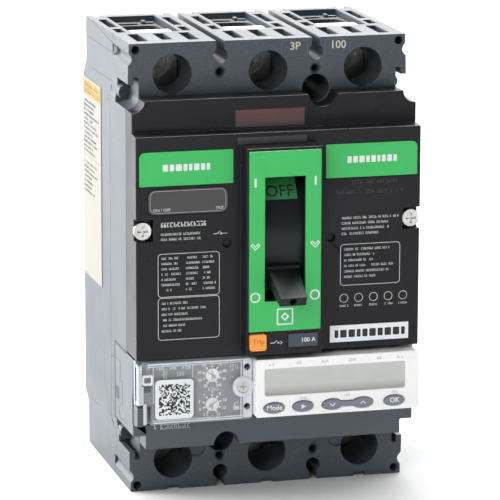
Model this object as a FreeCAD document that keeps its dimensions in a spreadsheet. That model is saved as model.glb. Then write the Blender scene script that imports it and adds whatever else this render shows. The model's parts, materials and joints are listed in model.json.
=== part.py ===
"""Three-pole molded case circuit breaker with an electronic trip unit.

Frame: origin at the centre of the flat rear mounting face, +Z up towards the line
terminals, the front towards -Y and +X to the right seen from the front. Millimetres.
Depths are counted forwards from the mounting face, so a depth of 86 lies at Y = -86.
"""
import FreeCAD
import Part
import os
import re

import Sketcher
from FreeCAD import Placement, Rotation, Vector

DIMENSIONS = {
    # casing envelope
    "half_width": 52.0,
    "terminal_half_width": 50.8,
    "half_height": 81.5,
    "flare_start": 65.5,
    "flare_end": 60.0,
    "base_depth": 45.0,
    "block_depth": 70.4,
    "strip_depth": 80.0,
    "cover_depth": 86.0,
    "boss_depth": 94.0,
    "pole_pitch": 35.0,
    "pole_gap_half": 17.5,
    # base and middle case interiors
    "rear_wall": 3.0,
    "pole_room_half": 14.5,
    "pole_room_height": 55.0,
    "terminal_floor": 58.0,
    "front_wall_inner": 67.9,
    "mech_room_bottom": 28.0,
    "mech_room_top": 50.0,
    "lug_room_half": 9.0,
    "lug_room_rear": 4.0,
    "strap_slot_half": 7.4,
    "strap_slot_rear": 7.6,
    "strap_slot_front": 11.4,
    "rotor_window": 10.5,
    "bearing_end": 14.6,
    # slots, holes and pockets of the terminal blocks
    "barrier_slot_half": 1.4,
    "keyhole_height": 76.1,
    "keyhole_radius": 2.6,
    "screw_row_height": 70.2,
    "access_radius": 7.0,
    "pin_hole_radius": 1.3,
    "pin_hole_mouth": 2.2,
    "corner_hole_x": 48.3,
    "corner_hole_height": 79.2,
    "corner_hole_radius": 1.4,
    "mount_height": 63.3,
    "mount_head_radius": 4.9,
    "mount_screw_radius": 2.3,
    "mount_web": 14.0,
    "edge_notch_rear": 54.0,
    "edge_notch_x": 47.4,
    "edge_notch_low": 62.4,
    "edge_notch_high": 66.9,
    "edge_notch_centre": 51.5,
    "edge_notch_radius": 4.1,
    "edge_slot_outer": 48.95,
    "edge_slot_high": 69.4,
    "edge_boss_x": 49.2,
    "edge_boss_radius": 2.6,
    "edge_boss_front": 58.5,
    "pocket_offset": 9.3,
    "pocket_half": 1.9,
    "pocket_rear": 48.0,
    "pocket_front": 65.5,
    "side_pocket_floor": 73.0,
    "middle_pocket_floor": 78.6,
    "cell_offset": 12.0,
    "cell_half": 1.5,
    "cell_floor": 72.0,
    "cell_rear_wall": 4.0,
    "cell_middle_rear": 10.0,
    "cell_middle_front": 30.0,
    "cell_front_rear": 34.0,
    "cell_front_wall": 43.5,
    "sight_notch_radius": 1.7,
    "foot_notch_half": 2.0,
    "foot_notch_height": 1.3,
    "ring_x": 26.2,
    "ring_height": 66.6,
    "ring_radius": 3.0,
    "small_recess": 0.6,
    # trip unit bay
    "bay_rear": 51.0,
    "bay_top": 29.8,
    "bay_bottom": 58.6,
    # front cover
    "cover_bottom": 29.2,
    "ridge_height": 51.2,
    "ridge_run": 0.4,
    "strip_top": 62.6,
    "cover_wall": 2.2,
    "scallop_radius": 5.2,
    "boss_half": 13.9,
    "boss_low": 28.0,
    "boss_high": 46.4,
    "boss_room_half": 11.5,
    "window_half": 7.4,
    "window_low": 8.3,
    "window_high": 36.2,
    "bezel_half": 13.05,
    "bezel_low": 19.2,
    "bezel_high": 45.5,
    "bezel_thickness": 1.0,
    "cover_screw_x": 49.2,
    "cover_screw_z": 17.1,
    "cover_screw_head": 3.1,
    "cover_screw_shank": 1.2,
    "screw_pocket_inner": 45.7,
    "screw_pocket_low": 13.7,
    "screw_pocket_high": 21.3,
    "screw_pocket_floor": 82.4,
    "screw_head_height": 1.8,
    "cover_screw_tip": 62.0,
    "seal_hole_x": 19.0,
    "seal_hole_z": 11.8,
    "seal_hole_radius": 1.5,
    # plates set into the cover
    "plate_recess": 0.5,
    "plate_proud": 0.15,
    "label_low": 33.3,
    "label_high": 45.45,
    "label_left": 50.8,
    "label_inner": 16.9,
    "label_corner": 2.2,
    "indicator_left": 47.7,
    "indicator_right": 18.8,
    "indicator_low": 23.1,
    "indicator_high": 32.1,
    "indicator_corner": 2.5,
    "marking_left": 18.9,
    "marking_right": 48.2,
    "marking_low": 26.6,
    "marking_high": 20.5,
    "rating_left": 1.5,
    "rating_right": 12.3,
    "rating_low": 25.6,
    "rating_high": 20.7,
    "side_label_rear": 0.8,
    "side_label_front": 31.0,
    "side_label_low": 14.6,
    "side_label_high": 59.7,
    "side_label_thickness": 0.25,
    # trip button, bar and latch
    "trip_x": 9.8,
    "trip_z": 23.0,
    "trip_half": 3.0,
    "trip_corner": 0.8,
    "trip_front": 94.6,
    "trip_rear": 90.0,
    "trip_travel_room": 0.15,
    "trip_rod_radius": 1.5,
    "trip_rod_tip": 58.3,
    "trip_spring_radius": 2.6,
    "trip_spring_wire": 0.35,
    "trip_spring_rear": 71.2,
    "trip_spring_front": 87.2,
    "trip_spring_pitch": 2.0,
    "bar_depth": 56.0,
    "bar_z": 17.5,
    "bar_radius": 2.0,
    "bar_half_length": 13.6,
    "bar_lever_thickness": 1.0,
    "bar_lever_reach": 7.5,
    "latch_reach": 8.0,
    "latch_half": 0.8,
    # handle
    "handle_depth": 58.0,
    "handle_z": 14.0,
    "handle_angle": 23.4,
    "lever_reach": 51.3,
    "lever_root": 33.4,
    "lever_tip_half": 4.9,
    "lever_root_half": 5.9,
    "lever_tip_thick": 1.75,
    "lever_root_thick": 2.6,
    "collar_half": 6.25,
    "collar_thick": 3.6,
    "collar_reach": 34.6,
    "tip_hole_radius": 1.2,
    "tip_hole_depth": 4.0,
    "shield_outer": 33.0,
    "shield_inner": 31.6,
    "shield_half": 10.5,
    "shield_angle": 58.0,
    "yoke_inner": 6.8,
    "yoke_outer": 8.2,
    "yoke_half": 4.0,
    "yoke_reach": 26.0,
    "yoke_bridge": 24.4,
    "ear_rise": 2.0,
    "ear_rear": 1.5,
    "ear_front": 2.6,
    "ear_slope": 5.0,
    "neck_half": 4.0,
    "stud_radius": 2.0,
    "running_gap": 0.05,
    # link between handle and rotor
    "link_arm": 9.8,
    "crank_arm": 13.0,
    "link_direction": 45.0,
    "link_pin_radius": 1.4,
    "crank_pin_radius": 1.2,
    "link_half": 1.5,
    "link_end_radius": 2.9,
    "link_bar_half": 2.0,
    "link_clearance": 0.3,
    # mechanism frame, cradle and springs
    "frame_inner": 9.0,
    "frame_outer": 10.2,
    "frame_rear": 37.6,
    "frame_front": 66.0,
    "frame_low": 12.0,
    "frame_high": 37.0,
    "frame_corner": 8.0,
    "frame_rear_step": 14.0,
    "frame_tie_width": 6.0,
    "cradle_pivot_depth": 42.0,
    "cradle_pivot_z": 31.0,
    "cradle_left": 2.5,
    "cradle_right": 5.0,
    "cradle_boss": 4.0,
    "cradle_bar_half": 2.5,
    "cradle_tip_depth": 52.0,
    "cradle_tip_z": 11.0,
    "cradle_pin_radius": 1.6,
    "spring_x": 5.0,
    "spring_radius": 1.3,
    "spring_wire": 0.3,
    "spring_pitch": 1.5,
    # rotary double-break contacts
    "rotor_depth": 22.0,
    "rotor_radius": 11.5,
    "rotor_half": 12.2,
    "hub_radius": 10.0,
    "hub_half": 14.3,
    "arm_radius": 18.4,
    "arm_half": 3.5,
    "arm_thick_half": 2.0,
    "open_angle": 35.0,
    "crossbar_radius": 1.5,
    "crossbar_offset": 7.0,
    "crossbar_half_length": 48.6,
    "crank_inner": 4.5,
    "crank_outer": 7.5,
    "crank_angle": 27.5,
    "crank_ear_radius": 2.6,
    # current path
    "strap_half": 7.0,
    "strap_rear": 8.0,
    "strap_front": 11.0,
    "strap_end": 75.5,
    "strap_thick": 3.0,
    "strap_foot": 21.0,
    "contact_tip": 12.4,
    "line_contact_front": 18.0,
    "load_contact_rear": 26.0,
    "load_run_front": 39.0,
    "load_run_end": 53.0,
    "pad_half": 3.5,
    "pad_thick": 2.2,
    "pad_overlap": 0.5,
    "pad_low": 13.0,
    "pad_high": 18.4,
    "lug_half": 8.2,
    "lug_rear": 11.2,
    "lug_front": 43.5,
    "lug_low": 59.0,
    "lug_high": 76.0,
    "lug_crown_half": 7.4,
    "lug_crown_rear": 33.5,
    "lug_crown_high": 80.6,
    "wire_depth": 20.6,
    "wire_radius": 6.3,
    "lug_screw_radius": 5.4,
    "lug_screw_tip": 27.6,
    "lug_screw_head": 42.0,
    "driver_room_half": 8.2,
    "driver_room_front": 54.0,
    "driver_room_low": 61.0,
    "driver_room_high": 72.6,
    "hex_radius": 3.4,
    "hex_depth": 6.0,
    # arc chutes
    "plate_count": 7,
    "plate_half": 11.0,
    "plate_thickness": 1.2,
    "plate_spacing": 2.7,
    "chute_front_first": 19.6,
    "chute_rear_first": 5.8,
    "chute_inner": 21.0,
    "chute_outer": 44.0,
    "plate_notch_half": 2.4,
    "plate_notch_top": 27.0,
    # pole cartridges
    "cheek_inner": 12.5,
    "cheek_outer": 14.0,
    "cartridge_rear": 4.2,
    "cartridge_rear_inner": 5.3,
    "cartridge_front": 44.0,
    "cartridge_low": 29.0,
    "cartridge_high": 48.0,
    # trip unit
    "unit_front": 80.0,
    "unit_rear": 51.6,
    "unit_top": 30.0,
    "unit_bottom": 58.3,
    "unit_wall": 2.0,
    "unit_opening_bottom": 54.0,
    "apron_half": 47.4,
    "apron_bottom": 63.5,
    "apron_rear": 70.6,
    "apron_scallop": 4.6,
    "panel_front": 83.5,
    "panel_left": 51.8,
    "panel_right": 10.0,
    "panel_bottom": 53.6,
    "hinge_relief": 49.8,
    "dial_x": 23.9,
    "dial_radius": 2.45,
    "dial_front": 84.1,
    "upper_dial_z": 36.4,
    "lower_dial_z": 47.1,
    "dial_slot_half": 0.4,
    "dial_slot_length": 1.7,
    "dial_slot_depth": 0.8,
    "dial_flange": 1.0,
    "dial_flange_thick": 2.1,
    "code_left": 45.3,
    "code_right": 31.35,
    "code_low": 51.0,
    "code_high": 36.6,
    "code_corner": 1.6,
    "code_thickness": 0.15,
    "panel_hole_x": 11.6,
    "panel_hole_radius": 1.1,
    "panel_hole_high": 33.6,
    "panel_hole_low": 48.1,
    "port_x": 47.35,
    "port_half": 0.95,
    "port_high": 47.5,
    "corner_lug_left": 51.8,
    "corner_lug_right": 49.3,
    "corner_lug_low": 53.4,
    "corner_lug_high": 46.2,
    "corner_lug_front": 85.9,
    # display
    "display_left": 9.4,
    "display_right": 51.2,
    "display_top": 30.4,
    "display_bottom": 51.7,
    "display_front": 90.0,
    "display_wall": 1.6,
    "display_corner": 0.9,
    "screen_corner": 0.8,
    "screen_left": 6.1,
    "screen_right": 46.1,
    "screen_top": 34.0,
    "screen_bottom": 43.8,
    "screen_front": 89.5,
    "screen_rear": 87.4,
    "key_z": 48.3,
    "key_half": 3.8,
    "key_rise": 1.9,
    "key_front": 90.5,
    "key_rear": 87.6,
    "key_gap": 0.15,
    "mode_x": -2.7,
    "right_x": 8.0,
    "down_x": 18.9,
    "up_x": 30.2,
    "ok_x": 42.0,
    "rocker_neck": 0.9,
    "rocker_axis_x": 24.55,
    "rocker_rib_radius": 0.6,
    # sealable cover over the dials
    "flap_hinge_x": 51.0,
    "flap_hinge_depth": 85.3,
    "flap_barrel": 0.75,
    "flap_pin": 0.4,
    "flap_rear": 84.6,
    "flap_front": 86.0,
    "flap_right": 9.7,
    "flap_top": 30.2,
    "flap_bottom": 52.4,
    "flap_cut_x": 46.2,
    "flap_cut_z": 45.4,
    "flap_boss_x": 13.1,
    "flap_boss_z": 40.6,
    "flap_boss_radius": 3.4,
    "flap_boss_proud": 0.4,
    "flap_screw_proud": 0.6,
    "flap_screw_gap": 0.3,
    "flap_heel": 1.2,
    "flap_heel_gap": 0.1,
    "flap_screw_radius": 2.1,
    "knuckle_low": 44.0,
    "knuckle_high": 32.0,
    "knuckle_length": 1.6,
    # trip unit electronics
    "transformer_half": 12.0,
    "transformer_room_half": 8.0,
    "transformer_rear": 31.5,
    "transformer_front": 44.5,
    "transformer_room_rear": 35.0,
    "transformer_room_front": 40.5,
    "transformer_low": 47.5,
    "transformer_high": 34.0,
    "board_half": 46.0,
    "board_rear": 74.0,
    "board_front": 75.6,
    "actuator_x": 6.0,
    "actuator_depth": 62.0,
    "actuator_radius": 6.0,
    "plunger_radius": 1.2,
    "plunger_top": 23.0,
    "plunger_bottom": 37.6,
    "actuator_top": 33.4,
    "actuator_bottom": 52.0,
    # case screws
    "case_screw_z": 51.9,
    "case_screw_radius": 1.6,
    "case_screw_length": 26.0,
    "case_screw_hole_rear": 20.0,
    # crossed slots in a screw head, as shares of its radius
    "cross_reach": 0.62,
    "cross_width": 0.14,
    "cross_depth": 1.1,
}

POLES = (-1, 0, 1)
SIDES = (1, -1)
CELL_DEPTHS = (("-1", "cell_rear_wall"), ("cell_middle_rear", "cell_middle_front"),
               ("cell_front_rear", "cell_front_wall"))
DIMENSION_WORD = re.compile(r"[a-z][a-z_]+")

document = FreeCAD.newDocument("MoldedCaseBreaker")
sheet = document.addObject("Spreadsheet::Sheet", "Dims")
for row, (alias, amount) in enumerate(DIMENSIONS.items(), start=1):
    sheet.set(f"A{row}", alias)
    sheet.set(f"B{row}", str(amount))
    sheet.setAlias(f"B{row}", alias)
document.recompute()


# Formulas bound to the sheet

def formula(text):
    """Write a formula of plain dimension names as an expression that reads the sheet."""
    def cell(word):
        name = word.group(0)
        return f"Dims.{name}" if name in DIMENSIONS else name
    return DIMENSION_WORD.sub(cell, str(text))


def value(text):
    """The number that a formula gives now."""
    result = sheet.evalExpression(formula(text))
    return float(getattr(result, "Value", result))


def bind(feature, **formulas):
    for name, text in formulas.items():
        feature.setExpression(name, formula(text))


def place(feature, x, y, z):
    for axis, text in (("x", x), ("y", y), ("z", z)):
        feature.setExpression(f"Placement.Base.{axis}", formula(text))
    return feature


# Shapes. A range is a pair of formulas, low then high; depth counts forwards from the rear face.

def box(name, x, depth, z):
    feature = document.addObject("Part::Box", name)
    bind(feature, Length=f"({x[1]}) - ({x[0]})", Width=f"({depth[1]}) - ({depth[0]})",
         Height=f"({z[1]}) - ({z[0]})")
    return place(feature, x[0], f"-({depth[1]})", z[0])


def cylinder(name, radius, x, depth, z):
    """A cylinder along whichever direction is given as a range."""
    feature = document.addObject("Part::Cylinder", name)
    span = next(item for item in (x, depth, z) if isinstance(item, tuple))
    bind(feature, Radius=radius, Height=f"({span[1]}) - ({span[0]})")
    start = [item[0] if isinstance(item, tuple) else item for item in (x, depth, z)]
    if isinstance(x, tuple):
        feature.Placement = Placement(Vector(), Rotation(Vector(0, 1, 0), 90))
    elif isinstance(depth, tuple):
        feature.Placement = Placement(Vector(), Rotation(Vector(1, 0, 0), 90))
    return place(feature, start[0], f"-({start[1]})", start[2])


def cone(name, wide, narrow, x, depth, z):
    """A cone along the depth, narrow at the rear."""
    feature = document.addObject("Part::Cone", name)
    bind(feature, Radius1=narrow, Radius2=wide, Height=f"({depth[1]}) - ({depth[0]})")
    feature.Placement = Placement(Vector(), Rotation(Vector(1, 0, 0), 90))
    return place(feature, x, f"-({depth[0]})", z)


def outline(name, plane, points, length, start=("0", "0", "0")):
    """A closed outline of straight sides, padded off one of its body's origin planes."""
    body = document.addObject("PartDesign::Body", name)
    sketch = body.newObject("Sketcher::SketchObject", f"{name}_sketch")
    datum = next(item for item in body.Origin.OriginFeatures if item.Role == plane)
    sketch.AttachmentSupport = [(datum, "")]
    sketch.MapMode = "FlatFace"
    corners = [Vector(value(first), value(second), 0) for first, second in points]
    count = len(corners)
    for index in range(count):
        sketch.addGeometry(Part.LineSegment(corners[index], corners[(index + 1) % count]))
    for index in range(count):
        sketch.addConstraint(Sketcher.Constraint("Coincident", index, 2, (index + 1) % count, 1))
    for index, (first, second) in enumerate(points):
        for kind, text, number in (("DistanceX", first, corners[index].x),
                                   ("DistanceY", second, corners[index].y)):
            constraint = sketch.addConstraint(Sketcher.Constraint(kind, -1, 1, index, 1, number))
            sketch.setExpression(f"Constraints[{constraint}]", formula(text))
    pad = body.newObject("PartDesign::Pad", f"{name}_pad")
    pad.Profile = sketch
    bind(pad, Length=length)
    return place(body, *start)


def side_profile(name, x, points):
    """An outline of (depth, z) points, extruded across the width."""
    turned = [(f"-({depth})", height) for depth, height in points]
    return outline(name, "YZ_Plane", turned, f"({x[1]}) - ({x[0]})", (x[0], "0", "0"))


def front_profile(name, depth, points):
    """An outline of (x, z) points, extruded forwards."""
    return outline(name, "XZ_Plane", points, f"({depth[1]}) - ({depth[0]})", ("0", f"-({depth[0]})", "0"))


def fuse(name, pieces):
    if len(pieces) == 1:
        return pieces[0]
    feature = document.addObject("Part::MultiFuse", name)
    feature.Shapes = pieces
    return feature


def cut(name, base, tools):
    feature = document.addObject("Part::Cut", name)
    feature.Base = base
    feature.Tool = fuse(f"{name}_openings", tools)
    return feature


def group(name, pieces):
    feature = document.addObject("Part::Compound", name)
    feature.Links = pieces
    return feature


def rounded(name, base, radius, chosen):
    """Round the edges of the base for which chosen(edge) holds."""
    document.recompute()
    size = value(radius)
    feature = document.addObject("Part::Fillet", name)
    feature.Base = base
    feature.Edges = [(index, size, size) for index, edge in enumerate(base.Shape.Edges, start=1)
                     if chosen(edge)]
    return feature


def runs_along_depth(edge):
    start, end = (vertex.Point for vertex in edge.Vertexes)
    return abs(start.x - end.x) < 1e-6 and abs(start.z - end.z) < 1e-6


def corner_picker(*corners):
    """Choose the edges along the depth that stand at the given (x, z) corners."""
    spots = [(value(x), value(z)) for x, z in corners]

    def chosen(edge):
        if len(edge.Vertexes) != 2 or not runs_along_depth(edge):
            return False
        point = edge.Vertexes[0].Point
        return any(abs(point.x - x) < 1e-3 and abs(point.z - z) < 1e-3 for x, z in spots)
    return chosen


def rounded_plate(name, x, depth, z, radius, corners=None):
    """A plate across the front with some or all of its corners rounded."""
    everywhere = [(edge_x, edge_z) for edge_x in x for edge_z in z]
    return rounded(name, box(f"{name}_blank", x, depth, z), radius, corner_picker(*(corners or everywhere)))


def spring(name, radius, wire, pitch, height):
    """A close coil along +Z that starts at its own origin."""
    turns = Part.makeHelix(value(pitch), value(height), value(radius))
    section = Part.Wire(Part.makeCircle(value(wire), Vector(value(radius), 0, 0), Vector(0, 1, 0)))
    feature = document.addObject("Part::Feature", name)
    feature.Shape = Part.Wire(turns).makePipeShell([section], True, True)
    return feature


def turned_about(feature, depth, z, angle):
    """Move a piece built around its pivot to the pivot, tipped about the X axis."""
    feature.Placement = Placement(Vector(), Rotation(Vector(1, 0, 0), 1))
    feature.setExpression("Placement.Rotation.Angle", formula(angle))
    return place(feature, "0", f"-({depth})", z)


def pole(index):
    return f"{index} * pole_pitch"


def across(centre, half):
    """A range centred on a formula."""
    return (f"{centre} - ({half})", f"{centre} + ({half})")


def upright(side, low, high):
    """A height range on the line side (1), or its mirror image on the load side (-1)."""
    return (low, high) if side > 0 else (f"-({high})", f"-({low})")


# Casing

def case_outline(side_points):
    """Mirror the right upper quarter of the casing into the whole outline."""
    right = side_points + [(x, f"-({z})") for x, z in reversed(side_points)]
    return right + [(f"-({x})", z) for x, z in reversed(right)]


def terminal_slots(name, depth):
    """The barrier slots between the poles, open to the ends of the case."""
    tools = []
    for side in SIDES:
        for gap in SIDES:
            tag = f"{name}_{side + 1}{gap + 1}"
            middle = f"{gap} * pole_gap_half"
            tools.append(box(f"{tag}_slot", across(middle, "barrier_slot_half"), depth,
                             upright(side, "keyhole_height", "half_height + 1")))
            tools.append(cylinder(f"{tag}_keyhole", "keyhole_radius", middle, depth,
                                  f"{side} * keyhole_height"))
    return tools


def base_case():
    blank = front_profile("base_blank", ("0", "base_depth"), case_outline([
        ("terminal_half_width", "half_height"),
        ("terminal_half_width", "flare_start"),
        ("half_width", "flare_end")]))
    tools = terminal_slots("base", ("-1", "base_depth + 1"))
    for index in POLES:
        centre = pole(index)
        tools.append(box(f"pole_room_{index + 2}", across(centre, "pole_room_half"),
                         ("rear_wall", "base_depth + 1"), ("-pole_room_height", "pole_room_height")))
        for side in SIDES:
            tag = f"{index + 2}_{side + 1}"
            tools.append(box(f"lug_room_{tag}", across(centre, "lug_room_half"),
                             ("lug_room_rear", "base_depth + 1"),
                             upright(side, "terminal_floor", "half_height + 1")))
            tools.append(box(f"strap_slot_{tag}", across(centre, "strap_slot_half"),
                             ("strap_slot_rear", "strap_slot_front"),
                             upright(side, "pole_room_height - 1", "terminal_floor + 1")))
            for flank in SIDES:
                for number, (rear, front) in enumerate(CELL_DEPTHS):
                    tools.append(box(f"cell_{tag}_{flank + 1}_{number}",
                                     across(f"{centre} + {flank} * cell_offset", "cell_half"), (rear, front),
                                     upright(side, "cell_floor", "half_height + 1")))
    for gap in SIDES:
        tools.append(cylinder(f"rotor_window_{gap + 1}", "rotor_window",
                              across(f"{gap} * pole_gap_half", "pole_pitch / 2 - pole_room_half + 1"),
                              "rotor_depth", "0"))
    for side in SIDES:
        middle = f"{side} * pole_gap_half"
        height = f"{side} * mount_height"
        tools.append(cylinder(f"mount_screw_{side + 1}", "mount_screw_radius", middle,
                              ("-1", "base_depth + 1"), height))
        tools.append(cylinder(f"mount_head_{side + 1}", "mount_head_radius", middle,
                              ("mount_web", "base_depth + 1"), height))
    tools += case_screw_holes("base", "case_screw_hole_rear", "base_depth + 1")
    return cut("base_case", blank, tools)


def case_screw_holes(name, rear, front):
    return [cylinder(f"{name}_screw_hole_{side + 1}_{gap + 1}", "case_screw_radius",
                     f"{gap} * pole_gap_half", (rear, front), f"{side} * case_screw_z")
            for side in SIDES for gap in SIDES]


def mid_case():
    blank = front_profile("mid_blank", ("base_depth", "block_depth"), case_outline([
        ("terminal_half_width", "half_height"),
        ("terminal_half_width", "half_height - 3.5"),
        ("terminal_half_width - 0.8", "half_height - 4.5"),
        ("terminal_half_width - 1.1", "half_height - 5.6"),
        ("terminal_half_width - 0.8", "half_height - 6.7"),
        ("terminal_half_width + 0.3", "half_height - 7.9"),
        ("terminal_half_width + 0.5", "flare_end + 2"),
        ("half_width", "flare_end")]))
    through = ("base_depth - 1", "block_depth + 1")
    tools = terminal_slots("mid", through)
    tools += case_screw_holes("mid", "base_depth - 1", "block_depth + 1")
    tools.append(box("trip_bay", ("-half_width - 1", "half_width + 1"), ("bay_rear", "block_depth + 1"),
                     ("-bay_bottom", "-bay_top")))
    for index in POLES:
        tools += mid_case_pole_openings(index, through)
    for side in SIDES:
        tools += mid_case_end_openings(side, through)
    tools.append(cylinder("trip_rod_hole", "trip_rod_radius + trip_travel_room", "-trip_x",
                          ("front_wall_inner - 1", "block_depth + 1"), "-trip_z"))
    tools.append(cylinder("plunger_hole", "plunger_radius + trip_travel_room", "actuator_x",
                          "actuator_depth", ("-bay_top - 1", "-mech_room_bottom + 1")))
    body = cut("mid_case_shell", blank, tools)
    posts = [box(f"screw_post_{side + 1}", upright(side, "screw_pocket_inner", "half_width - 0.5"),
                 ("base_depth", "block_depth"), ("screw_pocket_low", "screw_pocket_high")) for side in SIDES]
    holes = [cylinder(f"cover_screw_hole_{side + 1}", "cover_screw_shank + 0.05", f"{side} * cover_screw_x",
                      ("cover_screw_tip - 1", "block_depth + 1"), "cover_screw_z") for side in SIDES]
    bosses = [cylinder(f"edge_boss_{side + 1}_{flank + 1}", "edge_boss_radius", f"{flank} * edge_boss_x",
                       ("edge_notch_rear - 1", "edge_boss_front"), f"{side} * edge_notch_low")
              for side in SIDES for flank in SIDES]
    return cut("mid_case", fuse("mid_case_with_posts", [body] + posts + bosses + trip_bar_bearings()),
               holes + [cylinder("trip_bar_hole", "bar_radius / 2 + running_gap",
                                 ("-bearing_end", "bearing_end"), "bar_depth", "-bar_z")])


def trip_bar_bearings():
    """Two ledges in the middle room that carry the ends of the trip bar."""
    return [box(f"bar_bearing_{side + 1}", upright(side, "bar_half_length", "pole_room_half + 0.5"),
                ("bar_depth - 3", "block_depth"), ("-bar_z - 3", "-bar_z + 3")) for side in SIDES]


def mid_case_pole_openings(index, through):
    centre = pole(index)
    tag = index + 2
    front = "block_depth + 1" if index == 0 else "front_wall_inner"
    tools = [box(f"mech_room_{tag}", across(centre, "pole_room_half"), ("base_depth - 1", front),
                 ("-mech_room_bottom", "mech_room_top"))]
    for side in SIDES:
        mark = f"{tag}_{side + 1}"
        tools.append(cylinder(f"access_hole_{mark}", "access_radius", centre, through,
                              f"{side} * screw_row_height"))
        tools.append(box(f"driver_room_{mark}", across(centre, "driver_room_half"),
                         ("base_depth - 1", "driver_room_front"),
                         upright(side, "driver_room_low", "driver_room_high")))
        tools.append(box(f"middle_pocket_{mark}", across(centre, "pocket_half"),
                         ("pocket_rear", "pocket_front - 2"),
                         upright(side, "middle_pocket_floor", "half_height + 1")))
        for flank in SIDES:
            tools.append(box(f"side_pocket_{mark}_{flank + 1}",
                             across(f"{centre} + {flank} * pocket_offset", "pocket_half"),
                             ("pocket_rear", "pocket_front"),
                             upright(side, "side_pocket_floor", "half_height + 1")))
    tools.append(cylinder(f"sight_notch_{tag}", "sight_notch_radius", centre,
                          ("block_depth - 0.8", "block_depth + 1"), "strip_top + 0.3"))
    tools.append(box(f"foot_notch_{tag}", across(centre, "foot_notch_half"),
                     ("block_depth - 1.5", "block_depth + 1"),
                     ("-half_height - 1", "-half_height + foot_notch_height")))
    return tools


def mid_case_end_openings(side, through):
    tools = [cylinder(f"mount_way_{side + 1}", "mount_head_radius", f"{side} * pole_gap_half", through,
                      f"{side} * mount_height")]
    tools.append(cylinder(f"ring_recess_{side + 1}", "ring_radius", f"{side} * ring_x",
                          ("block_depth - small_recess", "block_depth + 1"), "-ring_height"))
    for flank in SIDES:
        tag = f"{side + 1}_{flank + 1}"
        tools.append(cylinder(f"pin_hole_{tag}", "pin_hole_radius", f"{flank} * pole_gap_half",
                              ("block_depth - 12", "block_depth + 1"), f"{side} * screw_row_height"))
        tools.append(cone(f"pin_mouth_{tag}", "pin_hole_mouth", "pin_hole_radius",
                          f"{flank} * pole_gap_half", ("block_depth - 0.9", "block_depth"),
                          f"{side} * screw_row_height"))
        tools.append(cylinder(f"corner_hole_{tag}", "corner_hole_radius", f"{flank} * corner_hole_x",
                              ("block_depth - 8", "block_depth + 1"), f"{side} * corner_hole_height"))
        tools += edge_notch(f"edge_notch_{tag}", flank, side, ("edge_notch_rear", "block_depth + 1"))
    return tools


def edge_notch(name, flank, side, depth):
    """A notch in the edge of the case: straight above, rounded below, with a slot up from its top."""
    return [
        box(f"{name}_middle", upright(flank, "edge_notch_x", "half_width + 1"), depth,
            upright(side, "edge_notch_low", "edge_notch_high")),
        box(f"{name}_slot", upright(flank, "edge_notch_x", "edge_slot_outer"), depth,
            upright(side, "edge_notch_high - 0.1", "edge_slot_high")),
        cylinder(f"{name}_curve", "edge_notch_radius", f"{flank} * edge_notch_centre", depth,
                 f"{side} * edge_notch_low"),
    ]


# Front cover and what is set into it

def accessory_cover():
    blank = side_profile("cover_blank", ("-half_width", "half_width"), [
        ("block_depth", "-cover_bottom"),
        ("cover_depth", "-cover_bottom"),
        ("cover_depth", "ridge_height - ridge_run"),
        ("strip_depth", "ridge_height"),
        ("strip_depth", "strip_top"),
        ("block_depth", "strip_top")])
    boss = box("boss_blank", ("-boss_half", "boss_half"), ("cover_depth - 1", "boss_depth - bezel_thickness"),
               ("-boss_low", "boss_high"))
    room = side_profile("cover_room", ("-half_width + cover_wall", "half_width - cover_wall"), [
        ("block_depth - 1", "-cover_bottom + cover_wall"),
        ("cover_depth - cover_wall", "-cover_bottom + cover_wall"),
        ("cover_depth - cover_wall", "ridge_height - ridge_run - cover_wall"),
        ("strip_depth - cover_wall", "ridge_height - cover_wall"),
        ("strip_depth - cover_wall", "mech_room_top + 6"),
        ("block_depth - 1", "mech_room_top + 6")])
    boss_room = box("boss_room", ("-boss_room_half", "boss_room_half"),
                    ("cover_depth - cover_wall - 1", "boss_depth - bezel_thickness - cover_wall / 2"),
                    ("-window_low - 6", "window_high + 6"))
    window = box("handle_window", ("-window_half", "window_half"), ("boss_depth - 6", "boss_depth + 1"),
                 ("-window_low", "window_high"))
    tools = [room, boss_room, window] + cover_recesses() + cover_edge_cuts()
    body = cut("cover_shell", fuse("cover_with_boss", [blank, boss]), tools)
    return cut("accessory_cover", fuse("cover_with_posts", [body] + screw_posts()), screw_post_holes())


def screw_posts():
    """Walls around the two screw pockets, and the posts the screws pass through."""
    return [box(f"cover_post_{side + 1}", upright(side, "screw_pocket_inner", "half_width - 0.4"),
                ("block_depth", "screw_pocket_floor"), ("screw_pocket_low", "screw_pocket_high"))
            for side in SIDES]


def screw_post_holes():
    return [cylinder(f"cover_post_hole_{side + 1}", "cover_screw_shank + 0.1", f"{side} * cover_screw_x",
                     ("block_depth - 1", "cover_depth"), "cover_screw_z") for side in SIDES]


def cover_edge_cuts():
    tools = [cylinder("scallop", "scallop_radius", "pole_gap_half", ("block_depth - 1", "cover_depth + 1"),
                      "mount_height")]
    for side in SIDES:
        tools.append(box(f"screw_pocket_{side + 1}", upright(side, "screw_pocket_inner", "half_width + 1"),
                         ("screw_pocket_floor", "cover_depth + 1"),
                         ("screw_pocket_low", "screw_pocket_high")))
        tools.append(cylinder(f"seal_hole_{side + 1}", "seal_hole_radius", f"{side} * seal_hole_x",
                              ("cover_depth - 1.5", "cover_depth + 1"), "seal_hole_z"))
        tools += edge_notch(f"strip_notch_{side + 1}", side, 1, ("block_depth - 1", "strip_depth + 1"))
    return tools


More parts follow.
